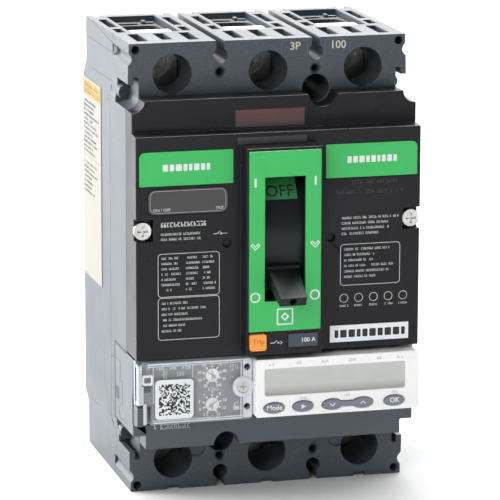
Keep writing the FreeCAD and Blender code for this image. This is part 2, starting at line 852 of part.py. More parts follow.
def cover_recesses():
    """Shallow seats for the plates, and the hole of the trip button."""
    front = ("cover_depth - plate_recess", "cover_depth + 1")
    return [
        label_plate("left_label_seat", -1, front),
        label_plate("right_label_seat", 1, front),
        indicator("indicator_seat", front),
        box("marking_seat", ("marking_left", "marking_right"), front, ("-marking_low", "-marking_high")),
        box("rating_seat", ("rating_left", "rating_right"),
            ("boss_depth - bezel_thickness - plate_recess", "boss_depth + 1"),
            ("-rating_low", "-rating_high")),
        rounded_plate("trip_hole", across("-trip_x", "trip_half + trip_travel_room"),
                      ("cover_depth - cover_wall - 1", "boss_depth + 1"),
                      across("-trip_z", "trip_half + trip_travel_room"), "trip_corner"),
    ]


def handle_bezel():
    plate = box("bezel_blank", ("-bezel_half", "bezel_half"), ("boss_depth - bezel_thickness", "boss_depth"),
                ("-bezel_low", "bezel_high"))
    window = box("bezel_window", ("-window_half", "window_half"), ("boss_depth - 3", "boss_depth + 1"),
                 ("-window_low", "window_high"))
    return cut("handle_bezel", plate, [window])


def label_plate(name, side, depth):
    """A colour plate beside the boss, with its outer top corner rounded."""
    x = upright(side, "label_inner", "label_left")
    corner = (x[1] if side > 0 else x[0], "label_high")
    return rounded_plate(name, x, depth, ("label_low", "label_high"), "label_corner", [corner])


def indicator(name, depth):
    return rounded_plate(name, ("-indicator_left", "-indicator_right"), depth,
                         ("indicator_low", "indicator_high"), "indicator_corner")


def seated_depth(surface):
    return (f"{surface} - plate_recess", f"{surface} + plate_proud")


def marking_plate():
    return box("marking_plate", ("marking_left", "marking_right"), seated_depth("cover_depth"),
               ("-marking_low", "-marking_high"))


def rating_plate():
    return box("rating_plate", ("rating_left", "rating_right"), seated_depth("boss_depth - bezel_thickness"),
               ("-rating_low", "-rating_high"))


def side_label():
    return box("side_label", ("-half_width - side_label_thickness", "-half_width"),
               ("side_label_rear", "side_label_front"), ("-side_label_low", "side_label_high"))


def cross_recess(name, radius, x, front, z):
    """Two crossing slots in a screw head."""
    depth = (f"{front} - cross_depth", f"{front} + 1")
    reach = f"{radius} * cross_reach"
    width = f"{radius} * cross_width"
    return [box(f"{name}_wide", across(x, reach), depth, across(z, width)),
            box(f"{name}_tall", across(x, width), depth, across(z, reach))]


def cover_screws():
    screws = []
    for side in SIDES:
        x = f"{side} * cover_screw_x"
        front = "screw_pocket_floor + screw_head_height"
        tag = f"cover_screw_{side + 1}"
        head = cylinder(f"{tag}_head", "cover_screw_head", x, ("screw_pocket_floor", front), "cover_screw_z")
        shank = cylinder(f"{tag}_shank", "cover_screw_shank", x,
                         ("cover_screw_tip", "screw_pocket_floor + 1"),
                         "cover_screw_z")
        screws.append(cut(tag, fuse(f"{tag}_blank", [head, shank]),
                          cross_recess(tag, "cover_screw_head", x, front, "cover_screw_z")))
    return group("cover_screws", screws)


def case_screws():
    """Four screws through the middle case into the base, the load pair inside the trip bay."""
    screws = []
    for side in SIDES:
        seat = "block_depth" if side > 0 else "bay_rear"
        for gap in SIDES:
            x = f"{gap} * pole_gap_half"
            z = f"{side} * case_screw_z"
            tag = f"case_screw_{side + 1}_{gap + 1}"
            shank = cylinder(f"{tag}_shank", "case_screw_radius - running_gap", x,
                             (f"{seat} - case_screw_length", seat), z)
            screws.append(shank)
    return group("case_screws", screws)


# Trip unit

def trip_unit_housing():
    shell = box("unit_blank", ("-half_width", "half_width"), ("unit_rear", "unit_front"),
                ("-unit_bottom", "-unit_top"))
    apron = box("apron", ("-apron_half", "apron_half"), ("apron_rear", "unit_front"),
                ("-apron_bottom", "-unit_bottom + 1"))
    room = box("unit_room", ("-half_width + unit_wall", "half_width - unit_wall"),
               ("unit_rear + unit_wall", "unit_front + 1"), ("-unit_opening_bottom", "-unit_top - unit_wall"))
    scallop = cylinder("apron_scallop_cut", "apron_scallop", "-pole_gap_half",
                       ("apron_rear - 1", "unit_front + 1"),
                       "-mount_height")
    rod_way = cylinder("unit_plunger_hole", "plunger_radius + trip_travel_room", "actuator_x",
                       "actuator_depth", ("-unit_top - unit_wall - 1", "-unit_top + 1"))
    body = cut("unit_shell", fuse("unit_body", [shell, apron]), [room, scallop, rod_way])
    return fuse("trip_unit_housing", [body, corner_lug("corner_lug", "0")])


def corner_lug(name, grow):
    """The block beside the panel's lower left corner, or with grow the room it takes."""
    return box(name, (f"-corner_lug_left - {grow}", f"-corner_lug_right + {grow}"),
               ("unit_front - 1", "corner_lug_front"),
               (f"-corner_lug_low - {grow}", f"-corner_lug_high + {grow}"))


def trip_unit_panel():
    """The plate with the dials, and the two knuckles of the sealable cover."""
    plate = box("panel_plate", ("-panel_left", "-panel_right"), ("unit_front", "panel_front"),
                ("-panel_bottom", "-unit_top"))
    knuckles = [box(f"knuckle_{number}", ("-flap_hinge_x - flap_barrel", "-flap_hinge_x + flap_barrel"),
                    ("unit_front + 1", "flap_hinge_depth + flap_barrel"), (low, f"{low} + knuckle_length"))
                for number, low in enumerate(("-knuckle_low - knuckle_length", "-knuckle_high"))]
    relief = box("hinge_relief_cut", ("-panel_left - 1", "-hinge_relief"),
                 ("unit_front + 3", "panel_front + 1"),
                 ("-knuckle_low", "-knuckle_high"))
    port_depth = ("unit_front + 1", "panel_front + 1")
    port = [box("test_port", across("-port_x", "port_half"), port_depth, ("-panel_bottom - 1", "-port_high")),
            cylinder("test_port_top", "port_half", "-port_x", port_depth, "-port_high"),
            corner_lug("corner_lug_room", "0.05")]
    holes = [cylinder(f"dial_hole_{number}", "dial_radius + running_gap", "-dial_x",
                      ("unit_front - 1", "panel_front + 1"), f"-{height}")
             for number, height in enumerate(("upper_dial_z", "lower_dial_z"))]
    holes += [cylinder(f"panel_hole_{number}", "panel_hole_radius", "-panel_hole_x",
                       ("unit_front - 1", "panel_front + 1"), f"-{height}")
              for number, height in enumerate(("panel_hole_high", "panel_hole_low"))]
    pin_hole = cylinder("flap_pin_hole", "flap_pin", "-flap_hinge_x", "flap_hinge_depth",
                        ("-knuckle_low - knuckle_length", "-knuckle_high + knuckle_length"))
    screw_hole = cylinder("panel_screw_hole", "flap_screw_radius", "-flap_boss_x",
                          ("unit_front + 1", "panel_front + 1"), "-flap_boss_z")
    return cut("trip_unit_panel", fuse("panel_blank", [plate] + knuckles),
               [relief, pin_hole, screw_hole] + port + holes)


def setting_dial(name, height):
    disc = cylinder(f"{name}_disc", "dial_radius", "-dial_x", ("unit_front - 1", "dial_front"), f"-{height}")
    flange_front = "unit_front - 2 * running_gap"
    flange = cylinder(f"{name}_flange", "dial_radius + dial_flange", "-dial_x",
                      (f"{flange_front} - dial_flange_thick", flange_front), f"-{height}")
    slot = box(f"{name}_slot", across("-dial_x", "dial_slot_half"),
               ("dial_front - dial_slot_depth", "dial_front + 1"), across(f"-{height}", "dial_slot_length"))
    return cut(name, fuse(f"{name}_blank", [disc, flange]), [slot])


def code_label():
    """The thin label stuck on the front of the clear flap."""
    return rounded_plate("code_label", ("-code_left", "-code_right"),
                         ("flap_front", "flap_front + code_thickness"), ("-code_low", "-code_high"),
                         "code_corner")


def seal_cover():
    """The clear flap over the dials, with its hinge barrel and screw tab."""
    flap = box("flap_plate", ("-flap_hinge_x", "-flap_right"), ("flap_rear", "flap_front"),
               ("-flap_bottom", "-flap_top"))
    barrel = cylinder("flap_barrel_rod", "flap_barrel", "-flap_hinge_x", "flap_hinge_depth",
                      ("-knuckle_low + flap_heel_gap", "-knuckle_high - flap_heel_gap"))
    tab = cylinder("flap_tab", "flap_boss_radius", "-flap_boss_x",
                   ("flap_rear", "flap_front + flap_boss_proud"),
                   "-flap_boss_z")
    lower_cut = box("flap_lower_cut", ("-flap_hinge_x - 2", "-flap_cut_x"),
                    ("flap_rear - 1", "flap_front + 1"),
                    ("-flap_bottom - 1", "-flap_cut_z"))
    upper_cut = box("flap_upper_cut", ("-flap_hinge_x - 2", "-flap_hinge_x + flap_heel"),
                    ("flap_rear - 1", "flap_front + 1"), ("-knuckle_high - flap_heel_gap", "-flap_top + 1"))
    heel_cut = box("flap_heel_cut", ("-flap_hinge_x - 2", "-flap_hinge_x + flap_heel"),
                   ("flap_rear - 1", "flap_front + 1"), ("-flap_bottom - 1", "-knuckle_low + flap_heel_gap"))
    pin_way = cylinder("flap_pin_way", "flap_pin + running_gap", "-flap_hinge_x", "flap_hinge_depth",
                       ("-flap_bottom", "-flap_top"))
    screw_way = cylinder("flap_screw_way", "flap_screw_radius + running_gap", "-flap_boss_x",
                         ("flap_rear - 1", "flap_front + 1"), "-flap_boss_z")
    seal_ways = [cylinder(f"flap_seal_way_{number}", "panel_hole_radius", "-panel_hole_x",
                          ("flap_rear - 1", "flap_front + 1"), f"-{height}")
                 for number, height in enumerate(("panel_hole_high", "panel_hole_low"))]
    tools = [lower_cut, upper_cut, heel_cut, pin_way, screw_way] + seal_ways
    return cut("seal_cover", fuse("flap_blank", [flap, barrel, tab]), tools)


def seal_screw():
    front = "flap_front + flap_screw_proud"
    head = cylinder("seal_screw_head", "flap_screw_radius", "-flap_boss_x",
                    ("panel_front + flap_screw_gap", front),
                    "-flap_boss_z")
    return cut("seal_screw", head,
               cross_recess("seal_screw_cross", "flap_screw_radius", "-flap_boss_x", front,
                                                "-flap_boss_z"))


def hinge_pin():
    return cylinder("hinge_pin", "flap_pin", "-flap_hinge_x", "flap_hinge_depth",
                    ("-knuckle_low - knuckle_length", "-knuckle_high + knuckle_length"))


# Display and keys

def key_shape(name, x, depth, grow):
    """An oval key, or with grow the hole that it moves in."""
    oval = document.addObject("Part::Ellipse", f"{name}_oval")
    bind(oval, MajorRadius=f"key_half + {grow}", MinorRadius=f"key_rise + {grow}")
    oval.Placement = Placement(Vector(), Rotation(Vector(1, 0, 0), 90))
    place(oval, x, f"-({depth[0]})", "-key_z")
    body = document.addObject("Part::Extrusion", name)
    body.Base = oval
    body.DirMode = "Custom"
    body.Dir = Vector(0, -1, 0)
    body.Solid = True
    bind(body, LengthFwd=f"({depth[1]}) - ({depth[0]})")
    return body


def rocker_shape(name, depth, grow):
    """The down and up keys joined by their narrow neck, with the rib that they rock on behind it."""
    neck = box(f"{name}_neck", ("down_x", "up_x"), depth, across("-key_z", f"(rocker_neck + {grow})"))
    rib = cylinder(f"{name}_rib", f"rocker_rib_radius + {grow}", "rocker_axis_x", depth[0],
                   across("-key_z", f"(rocker_neck + {grow})"))
    return fuse(name, [key_shape(f"{name}_down", "down_x", depth, grow),
                       key_shape(f"{name}_up", "up_x", depth, grow), neck, rib])


def display_frame():
    blank = rounded_plate("display_blank", ("-display_left", "display_right"),
                          ("unit_front", "display_front"), ("-display_bottom", "-display_top"),
                          "display_corner")
    room = box("display_room", ("-display_left + display_wall", "display_right - display_wall"),
               ("unit_front - 1", "display_front - display_wall"),
               ("-display_bottom + display_wall", "-display_top - display_wall"))
    window = rounded_plate("screen_window", ("-screen_left", "screen_right"),
                           ("display_front - 3", "display_front + 1"),
                           ("-screen_bottom", "-screen_top"), "screen_corner")
    depth = ("display_front - 3", "display_front + 1")
    keys = [key_shape(f"{name}_opening", x, depth, "key_gap")
            for name, x in (("mode", "mode_x"), ("right", "right_x"), ("ok", "ok_x"))]
    return cut("display_frame", blank,
               [room, window, rocker_shape("rocker_opening", depth, "key_gap")] + keys)


def display_screen():
    return rounded_plate("display_screen", ("-screen_left", "screen_right"), ("screen_rear", "screen_front"),
                         ("-screen_bottom", "-screen_top"), "screen_corner")


def display_key(name, x):
    return key_shape(name, x, ("key_rear", "key_front"), "0")


# Trip button, bar and latch

def trip_button():
    cap = rounded_plate("trip_cap", across("-trip_x", "trip_half"), ("trip_rear", "trip_front"),
                        across("-trip_z", "trip_half"), "trip_corner")
    rod = cylinder("trip_rod", "trip_rod_radius", "-trip_x", ("trip_rod_tip", "trip_rear + 1"), "-trip_z")
    return fuse("trip_button", [cap, rod])


def trip_spring():
    coil = spring("trip_spring", "trip_spring_radius", "trip_spring_wire", "trip_spring_pitch",
                  "trip_spring_front - trip_spring_rear - 2 * trip_spring_wire")
    coil.Placement = Placement(Vector(), Rotation(Vector(1, 0, 0), 90))
    return place(coil, "-trip_x", "-(trip_spring_rear + trip_spring_wire)", "-trip_z")


def trip_bar():
    """The bar that the button, the actuator and the latch act on."""
    bar = cylinder("trip_bar_rod", "bar_radius", across("0", "bar_half_length - 0.2"), "bar_depth", "-bar_z")
    journals = cylinder("trip_bar_journals", "bar_radius / 2", across("0", "pole_room_half - 0.1"),
                        "bar_depth",
                        "-bar_z")
    lever = box("trip_bar_lever", across("-trip_x", "2"),
                ("bar_depth - bar_lever_thickness", "bar_depth + bar_lever_thickness"),
                ("-bar_z - bar_lever_reach", "-bar_z"))
    latch = box("trip_bar_latch", ("cradle_left", "cradle_right"),
                ("bar_depth - latch_half", "bar_depth + latch_half"), ("-bar_z", "-bar_z + latch_reach"))
    return fuse("trip_bar", [bar, journals, lever, latch])


def cradle():
    """The bar held back by the latch, hanging from its pivot in the mechanism frame."""
    bar = side_profile("cradle_bar", ("cradle_left", "cradle_right"), [
        ("cradle_pivot_depth - cradle_bar_half", "cradle_pivot_z"),
        ("cradle_tip_depth - 2 * cradle_bar_half", "-cradle_tip_z"),
        ("cradle_tip_depth", "-cradle_tip_z"),
        ("cradle_tip_depth", "-cradle_tip_z + 6"),
        ("cradle_pivot_depth + cradle_bar_half", "cradle_pivot_z")])
    boss = cylinder("cradle_boss_disc", "cradle_boss", ("cradle_left", "cradle_right"), "cradle_pivot_depth",
                    "cradle_pivot_z")
    hole = cylinder("cradle_hole", "cradle_pin_radius + running_gap", ("cradle_left - 1", "cradle_right + 1"),
                    "cradle_pivot_depth", "cradle_pivot_z")
    return cut("cradle", fuse("cradle_blank", [bar, boss]), [hole])


# Handle, built straight around its pivot and then tipped down to off

def handle():
    lever = outline("lever", "XY_Plane", [
        ("-lever_root_half", "-lever_root"), ("lever_root_half", "-lever_root"),
        ("lever_tip_half", "-lever_reach"), ("-lever_tip_half", "-lever_reach")],
        "2 * lever_root_thick", ("0", "0", "-lever_root_thick"))
    taper = side_profile("lever_taper", ("-lever_root_half", "lever_root_half"), [
        ("lever_root", "-lever_root_thick"), ("lever_root", "lever_root_thick"),
        ("lever_reach", "lever_tip_thick"), ("lever_reach", "-lever_tip_thick")])
    blade = document.addObject("Part::Common", "lever_blade")
    blade.Base = lever
    blade.Tool = taper
    collar = box("lever_collar", ("-collar_half", "collar_half"), ("shield_outer + 0.1", "collar_reach"),
                 ("-collar_thick", "collar_thick"))
    neck = box("lever_neck", ("-neck_half", "neck_half"), ("yoke_reach", "lever_root + 1"),
               ("-lever_root_thick", "lever_root_thick"))
    tip_hole = cylinder("lever_tip_hole", "tip_hole_radius", "0",
                        ("lever_reach - tip_hole_depth", "lever_reach + 1"), "0")
    return turned_about(cut("handle", fuse("handle_blank", [blade, collar, neck]), [tip_hole]),
                        "handle_depth", "handle_z", "handle_angle")


def handle_shield():
    """The curved plate that closes the window behind the handle."""
    sector = cylinder("shield_sector", "shield_outer", ("-shield_half", "shield_half"), "0", "0")
    sector.setExpression("Angle", formula("2 * shield_angle"))
    sector.Placement = Placement(Vector(), Rotation(Vector(0, 1, 0), 90))
    place(sector, "-shield_half", "0", "0")
    core = cylinder("shield_core", "shield_inner", ("-shield_half - 1", "shield_half + 1"), "0", "0")
    slot = box("shield_slot", ("-neck_half", "neck_half"), ("shield_inner - 2", "shield_outer + 1"),
               ("-lever_root_thick", "lever_root_thick"))
    turned = document.addObject("Part::Compound", "shield_turned")
    turned.Links = [sector]
    turned.Placement = Placement(Vector(), Rotation(Vector(1, 0, 0), 1))
    turned.setExpression("Placement.Rotation.Angle", formula("270 - shield_angle"))
    shell = cut("handle_shield", turned, [core, slot])
    return turned_about(shell, "handle_depth", "handle_z", "handle_angle")


def yoke_leg(side):
    x = upright(side, "yoke_inner", "yoke_outer")
    ear = "link_arm * sin(link_direction)"
    return side_profile(f"yoke_leg_{side + 1}", x, [
        ("-yoke_half", "-yoke_half"),
        ("yoke_reach", "-yoke_half"),
        ("yoke_reach", "yoke_half"),
        (f"{ear} + ear_slope", "yoke_half"),
        (f"{ear} + ear_front", f"{ear} + ear_rise"),
        (f"{ear} - ear_rear", f"{ear} + ear_rise"),
        ("-yoke_half", "yoke_half")])


def handle_yoke():
    legs = [yoke_leg(side) for side in SIDES]
    bridge = box("yoke_bridge_bar", ("-yoke_outer", "yoke_outer"), ("yoke_bridge", "yoke_reach"),
                 ("-yoke_half", "yoke_half"))
    pivot = cylinder("yoke_pivot_hole", "stud_radius + running_gap", ("-yoke_outer - 1", "yoke_outer + 1"),
                     "0", "0")
    pin_hole = cylinder("yoke_link_hole", "link_pin_radius", ("-yoke_outer - 1", "yoke_outer + 1"),
                        "link_arm * sin(link_direction)", "link_arm * cos(link_direction)")
    return turned_about(cut("handle_yoke", fuse("yoke_blank", legs + [bridge]), [pivot, pin_hole]),
                        "handle_depth", "handle_z", "handle_angle")


def link_pin():
    pin = cylinder("link_pin_rod", "link_pin_radius", ("-yoke_outer", "yoke_outer"),
                   "link_arm * sin(link_direction)", "link_arm * cos(link_direction)")
    return turned_about(group("link_pin", [pin]), "handle_depth", "handle_z", "handle_angle")


def toggle_springs():
    """Two tension springs between the yoke's bridge and the link pin."""
    start = "link_arm * sin(link_direction) + link_pin_radius + 0.4"
    springs = []
    for side in SIDES:
        coil = spring(f"toggle_spring_{side + 1}", "spring_radius", "spring_wire", "spring_pitch",
                      f"yoke_bridge - ({start}) - 0.8")
        coil.Placement = Placement(Vector(), Rotation(Vector(1, 0, 0), 90))
        springs.append(place(coil, f"{side} * spring_x", f"-({start})", "2"))
    return turned_about(group("toggle_springs", springs), "handle_depth", "handle_z", "handle_angle")


# Link, rotors and contacts

def drive_link():
    """The link from the yoke's pin to the crank pin, seen at rest."""
    yoke_y = "-handle_depth - link_arm * sin(link_direction + handle_angle)"
    yoke_z = "handle_z + link_arm * cos(link_direction + handle_angle)"
    crank_y = "-rotor_depth - crank_arm * sin(link_direction + open_angle / 2)"
    crank_z = "crank_arm * cos(link_direction + open_angle / 2)"
    x = ("-link_half", "link_half")
    ends = [cylinder("link_front_eye", "link_end_radius", x, f"-({yoke_y})", yoke_z),
            cylinder("link_rear_eye", "link_end_radius", x, f"-({crank_y})", crank_z)]
    bar = side_profile("link_bar", x, [
        (f"-({yoke_y})", f"{yoke_z} - link_bar_half"),
        (f"-({yoke_y})", f"{yoke_z} + link_bar_half"),
        (f"-({crank_y})", f"{crank_z} + link_bar_half"),
        (f"-({crank_y})", f"{crank_z} - link_bar_half")])
    wide = ("-link_half - 1", "link_half + 1")
    holes = [cylinder("link_front_hole", "link_pin_radius + running_gap", wide, f"-({yoke_y})", yoke_z),
             cylinder("link_rear_hole", "crank_pin_radius + link_clearance", wide, f"-({crank_y})", crank_z)]
    return cut("drive_link", fuse("link_blank", ends + [bar]), holes)


def rotor(index):
    """A contact carrier, built closed around its axis and then turned open."""
    centre = pole(index)
    name = f"rotor_{index + 2}"
    drum = cylinder(f"{name}_drum", "rotor_radius", across(centre, "rotor_half"), "0", "0")
    hubs = cylinder(f"{name}_hubs", "hub_radius", across(centre, "hub_half"), "0", "0")
    pieces = [drum, hubs]
    ear_y = "crank_arm * sin(crank_angle)"
    ear_z = "crank_arm * cos(crank_angle)"
    tools = [box(f"{name}_arm_slot", across(centre, "arm_half + running_gap"),
                 across("0", "arm_thick_half + running_gap"), ("-rotor_radius - 3", "rotor_radius + 3"))]
    for side in SIDES:
        tools.append(cylinder(f"{name}_bar_hole_{side + 1}", "crossbar_radius + running_gap",
                              across(centre, "hub_half + 1"), f"{side} * crossbar_offset", "0"))
    if index == 0:
        for side in SIDES:
            x = upright(side, "crank_inner", "crank_outer")
            pieces.append(cylinder(f"crank_ear_{side + 1}", "crank_ear_radius", x, ear_y, ear_z))
        tools.append(box("crank_link_room", across("0", "link_half + 0.7"), ("arm_thick_half + 0.8", "20"),
                         (f"{ear_z} - link_end_radius - 0.3", "20")))
        tools.append(cylinder("crank_pin_hole", "crank_pin_radius", across("0", "crank_outer + 1"), ear_y,
                              ear_z))
    return turned_about(cut(name, fuse(f"{name}_blank", pieces), tools), "rotor_depth", "0", "open_angle")


def crank_pin():
    pin = cylinder("crank_pin_rod", "crank_pin_radius", across("0", "crank_outer"),
                   "crank_arm * sin(crank_angle)", "crank_arm * cos(crank_angle)")
    return turned_about(group("crank_pin", [pin]), "rotor_depth", "0", "open_angle")


def contact_arm(index):
    name = f"contact_arm_{index + 2}"
    centre = pole(index)
    blank = box(f"{name}_bar", across(centre, "arm_half"), across("0", "arm_thick_half"),
                ("-arm_radius", "arm_radius"))
    waist = [box(f"{name}_waist_{side + 1}", across(centre, "arm_half + 1"),
                 upright(side, "arm_thick_half - 0.5", "arm_thick_half + 1"),
                 ("-crossbar_offset", "crossbar_offset")) for side in SIDES]
    return turned_about(cut(name, blank, waist), "rotor_depth", "0", "open_angle")


def crossbar_pins():
    pins = [cylinder(f"crossbar_pin_{side + 1}", "crossbar_radius", across("0", "crossbar_half_length"),
                     f"{side} * crossbar_offset", "0") for side in SIDES]
    return turned_about(group("crossbar_pins", pins), "rotor_depth", "0", "open_angle")


def line_conductors():
    """Straps from the line lugs down to the fixed contacts behind the arms."""
    straps = []
    for index in POLES:
        x = across(pole(index), "strap_half")
        strap = side_profile(f"line_strap_{index + 2}", x, [
            ("strap_rear", "strap_end"),
            ("strap_front", "strap_end"),
            ("strap_front", "strap_foot + strap_thick"),
            ("line_contact_front", "strap_foot + strap_thick"),
            ("line_contact_front", "contact_tip"),
            ("line_contact_front - strap_thick", "contact_tip"),
            ("line_contact_front - strap_thick", "strap_foot"),
            ("strap_rear", "strap_foot")])
        pad = box(f"line_pad_{index + 2}", across(pole(index), "pad_half"),
                  ("line_contact_front - pad_overlap", "line_contact_front - pad_overlap + pad_thick"),
                  ("pad_low", "pad_high"))
        straps.append(fuse(f"line_conductor_{index + 2}", [strap, pad]))
    return group("line_conductors", straps)


def load_conductors():
    """Straps from the fixed contacts in front of the arms, through the transformers, to the load lugs."""
    straps = []
    for index in POLES:
        x = across(pole(index), "strap_half")
        strap = side_profile(f"load_strap_{index + 2}", x, [
            ("load_contact_rear", "-contact_tip"),
            ("load_contact_rear + strap_thick", "-contact_tip"),
            ("load_contact_rear + strap_thick", "-strap_foot"),
            ("load_run_front", "-strap_foot"),
            ("load_run_front", "-load_run_end"),
            ("strap_front", "-load_run_end"),
            ("strap_front", "-strap_end"),
            ("strap_rear", "-strap_end"),
            ("strap_rear", "-load_run_end + strap_thick"),
            ("load_run_front - strap_thick", "-load_run_end + strap_thick"),
            ("load_run_front - strap_thick", "-strap_foot - strap_thick"),
            ("load_contact_rear", "-strap_foot - strap_thick")])
        pad = box(f"load_pad_{index + 2}", across(pole(index), "pad_half"),
                  ("load_contact_rear + pad_overlap - pad_thick", "load_contact_rear + pad_overlap"),
                  ("-pad_high", "-pad_low"))
        straps.append(fuse(f"load_conductor_{index + 2}", [strap, pad]))
    return group("load_conductors", straps)


def lugs(name, side):
    """Clamp blocks with a wire bore along Z and a threaded bore for the screw."""
    blocks = []
    for index in POLES:
        centre = pole(index)
        tag = f"{name}_{index + 2}"
        block = box(f"{tag}_block", across(centre, "lug_half"), ("lug_rear", "lug_front"),
                    upright(side, "lug_low", "lug_high"))
        bore = cylinder(f"{tag}_bore", "wire_radius", centre, "wire_depth",
                        upright(side, "lug_low - 1", "lug_high + 1"))
        thread = cylinder(f"{tag}_thread", "lug_screw_radius + running_gap", centre,
                          ("wire_depth", "lug_front + 1"), f"{side} * screw_row_height")
        crown = box(f"{tag}_crown", across(centre, "lug_crown_half"), ("lug_crown_rear", "lug_front"),
                    upright(side, "lug_high - 1", "lug_crown_high"))
        blocks.append(cut(tag, fuse(f"{tag}_blank", [block, crown]), [bore, thread]))
    return group(name, blocks)


def lug_screws():
    screws = []
    for index in POLES:
        for side in SIDES:
            tag = f"lug_screw_{index + 2}_{side + 1}"
            z = f"{side} * screw_row_height"
            stem = cylinder(f"{tag}_stem", "lug_screw_radius", pole(index),
                            ("lug_screw_tip", "lug_screw_head"), z)
            socket = document.addObject("Part::Prism", f"{tag}_socket")
            socket.Polygon = 6
            bind(socket, Circumradius="hex_radius", Height="hex_depth + 1")
            socket.Placement = Placement(Vector(), Rotation(Vector(1, 0, 0), 90))
            place(socket, pole(index), "-(lug_screw_head - hex_depth)", z)
            screws.append(cut(tag, stem, [socket]))
    return group("lug_screws", screws)


def arc_plate(name, centre, first, number, side):
    depth = (f"{first} + {number} * plate_spacing", f"{first} + {number} * plate_spacing + plate_thickness")
    blank = box(f"{name}_blank", across(centre, "plate_half"), depth,
                upright(side, "chute_inner", "chute_outer"))
    notch = box(f"{name}_notch", across(centre, "plate_notch_half"), (f"{depth[0]} - 1", f"{depth[1]} + 1"),
                upright(side, "chute_inner - 1", "plate_notch_top"))
    return cut(name, blank, [notch])


def arc_chutes():
    """Stacks of notched steel plates in front of and behind the arms' two ends."""
    plates = []
    for index in POLES:
        for side, first in ((1, "chute_front_first"), (-1, "chute_rear_first")):
            for number in range(int(DIMENSIONS["plate_count"])):
                plates.append(arc_plate(f"arc_plate_{index + 2}_{side + 1}_{number}", pole(index), first,
                                        number, side))
    return group("arc_chutes", plates)


def pole_cartridges():
    """Insulating troughs whose cheeks carry the rotors."""
    troughs = []
    for index in POLES:
        centre = pole(index)
        tag = f"cartridge_{index + 2}"
        blank = box(f"{tag}_blank", across(centre, "cheek_outer"), ("cartridge_rear", "cartridge_front"),
                    ("-cartridge_low", "cartridge_high"))
        room = box(f"{tag}_room", across(centre, "cheek_inner"),
                   ("cartridge_rear_inner", "cartridge_front + 1"),
                   ("-cartridge_low - 1", "cartridge_high + 1"))
        bearing = cylinder(f"{tag}_bearing", "hub_radius + running_gap", across(centre, "cheek_outer + 1"),
                           "rotor_depth", "0")
        troughs.append(cut(tag, blank, [room, bearing]))
    return group("pole_cartridges", troughs)


# Mechanism frame and electronics

def mechanism_frame():
    plates = [side_profile(f"frame_plate_{side + 1}", upright(side, "frame_inner", "frame_outer"), [
        ("frame_rear", "frame_high"),
        ("frame_rear", "-frame_low + frame_rear_step"),
        ("frame_rear + frame_corner", "-frame_low"),
        ("frame_front - frame_corner", "-frame_low"),
        ("frame_front", "0"),
        ("frame_front", "frame_high - frame_corner"),
        ("frame_front - frame_corner", "frame_high")]) for side in SIDES]
    tie = box("frame_tie", ("-frame_outer", "frame_outer"), ("frame_rear", "frame_rear + frame_tie_width"),
              ("frame_high - frame_outer + frame_inner", "frame_high"))
    holes = [cylinder("frame_stud_hole", "stud_radius", ("-frame_outer - 1", "frame_outer + 1"),
                      "handle_depth",
                      "handle_z"),
             cylinder("frame_cradle_hole", "cradle_pin_radius", ("-frame_outer - 1", "frame_outer + 1"),
                      "cradle_pivot_depth", "cradle_pivot_z")]
    return cut("mechanism_frame", fuse("frame_blank", plates + [tie]), holes)


def mechanism_pins():
    """The two studs that the yoke turns on, and the cradle's pin."""
    studs = [cylinder(f"yoke_stud_{side + 1}", "stud_radius",
                      upright(side, "yoke_inner - 0.8", "frame_outer"),
                      "handle_depth", "handle_z") for side in SIDES]
    pin = cylinder("cradle_pin", "cradle_pin_radius", ("-frame_outer", "frame_outer"), "cradle_pivot_depth",
                   "cradle_pivot_z")
    return group("mechanism_pins", studs + [pin])


def current_transformers():
    rings = []
    for index in POLES:
        centre = pole(index)
        tag = f"transformer_{index + 2}"
        blank = box(f"{tag}_blank", across(centre, "transformer_half"),
                    ("transformer_rear", "transformer_front"),
                    ("-transformer_low", "-transformer_high"))
        room = box(f"{tag}_room", across(centre, "transformer_room_half"),
                   ("transformer_room_rear", "transformer_room_front"),
                   ("-transformer_low - 1", "-transformer_high + 1"))
        rings.append(cut(tag, blank, [room]))
    return group("current_transformers", rings)


def circuit_board():
    return box("circuit_board", ("-board_half", "board_half"), ("board_rear", "board_front"),
               ("-unit_opening_bottom + 1", "-unit_top - unit_wall - 1"))


def trip_actuator():
    can = cylinder("actuator_can", "actuator_radius", "actuator_x", "actuator_depth",
                   ("-actuator_bottom", "-actuator_top"))
    bore = cylinder("actuator_bore", "plunger_radius + running_gap", "actuator_x", "actuator_depth",
                    ("-plunger_bottom - 1", "-actuator_top + 1"))
    return cut("trip_actuator", can, [bore])


def actuator_plunger():
    return cylinder("actuator_plunger", "plunger_radius", "actuator_x", "actuator_depth",
                    ("-plunger_bottom", "-plunger_top - 2"))


def build():
    subparts = [
        base_case(), mid_case(), accessory_cover(), handle_bezel(),
        label_plate("left_label_plate", -1, seated_depth("cover_depth")),
        label_plate("right_label_plate", 1, seated_depth("cover_depth")),
        indicator("indicator_window", seated_depth("cover_depth")),
        marking_plate(), rating_plate(), side_label(), cover_screws(), case_screws(),
        trip_unit_housing(), trip_unit_panel(), code_label(), seal_cover(), seal_screw(), hinge_pin(),
        setting_dial("current_dial", "upper_dial_z"), setting_dial("time_dial", "lower_dial_z"),
        display_frame(), display_screen(),
        display_key("mode_key", "mode_x"), display_key("right_key", "right_x"), display_key("ok_key", "ok_x"),
        rocker_shape("down_up_key", ("key_rear", "key_front"), "0"),
        trip_button(), trip_spring(), trip_bar(), cradle(),
        handle(), handle_shield(), handle_yoke(), link_pin(), toggle_springs(), drive_link(), crank_pin(),
        crossbar_pins(), line_conductors(), load_conductors(), lugs("line_lugs", 1), lugs("load_lugs", -1),
        lug_screws(), arc_chutes(), pole_cartridges(), mechanism_frame(), mechanism_pins(),
        current_transformers(), circuit_board(), trip_actuator(), actuator_plunger(),
    ]
    for index in POLES:
        subparts += [rotor(index), contact_arm(index)]
    return subparts


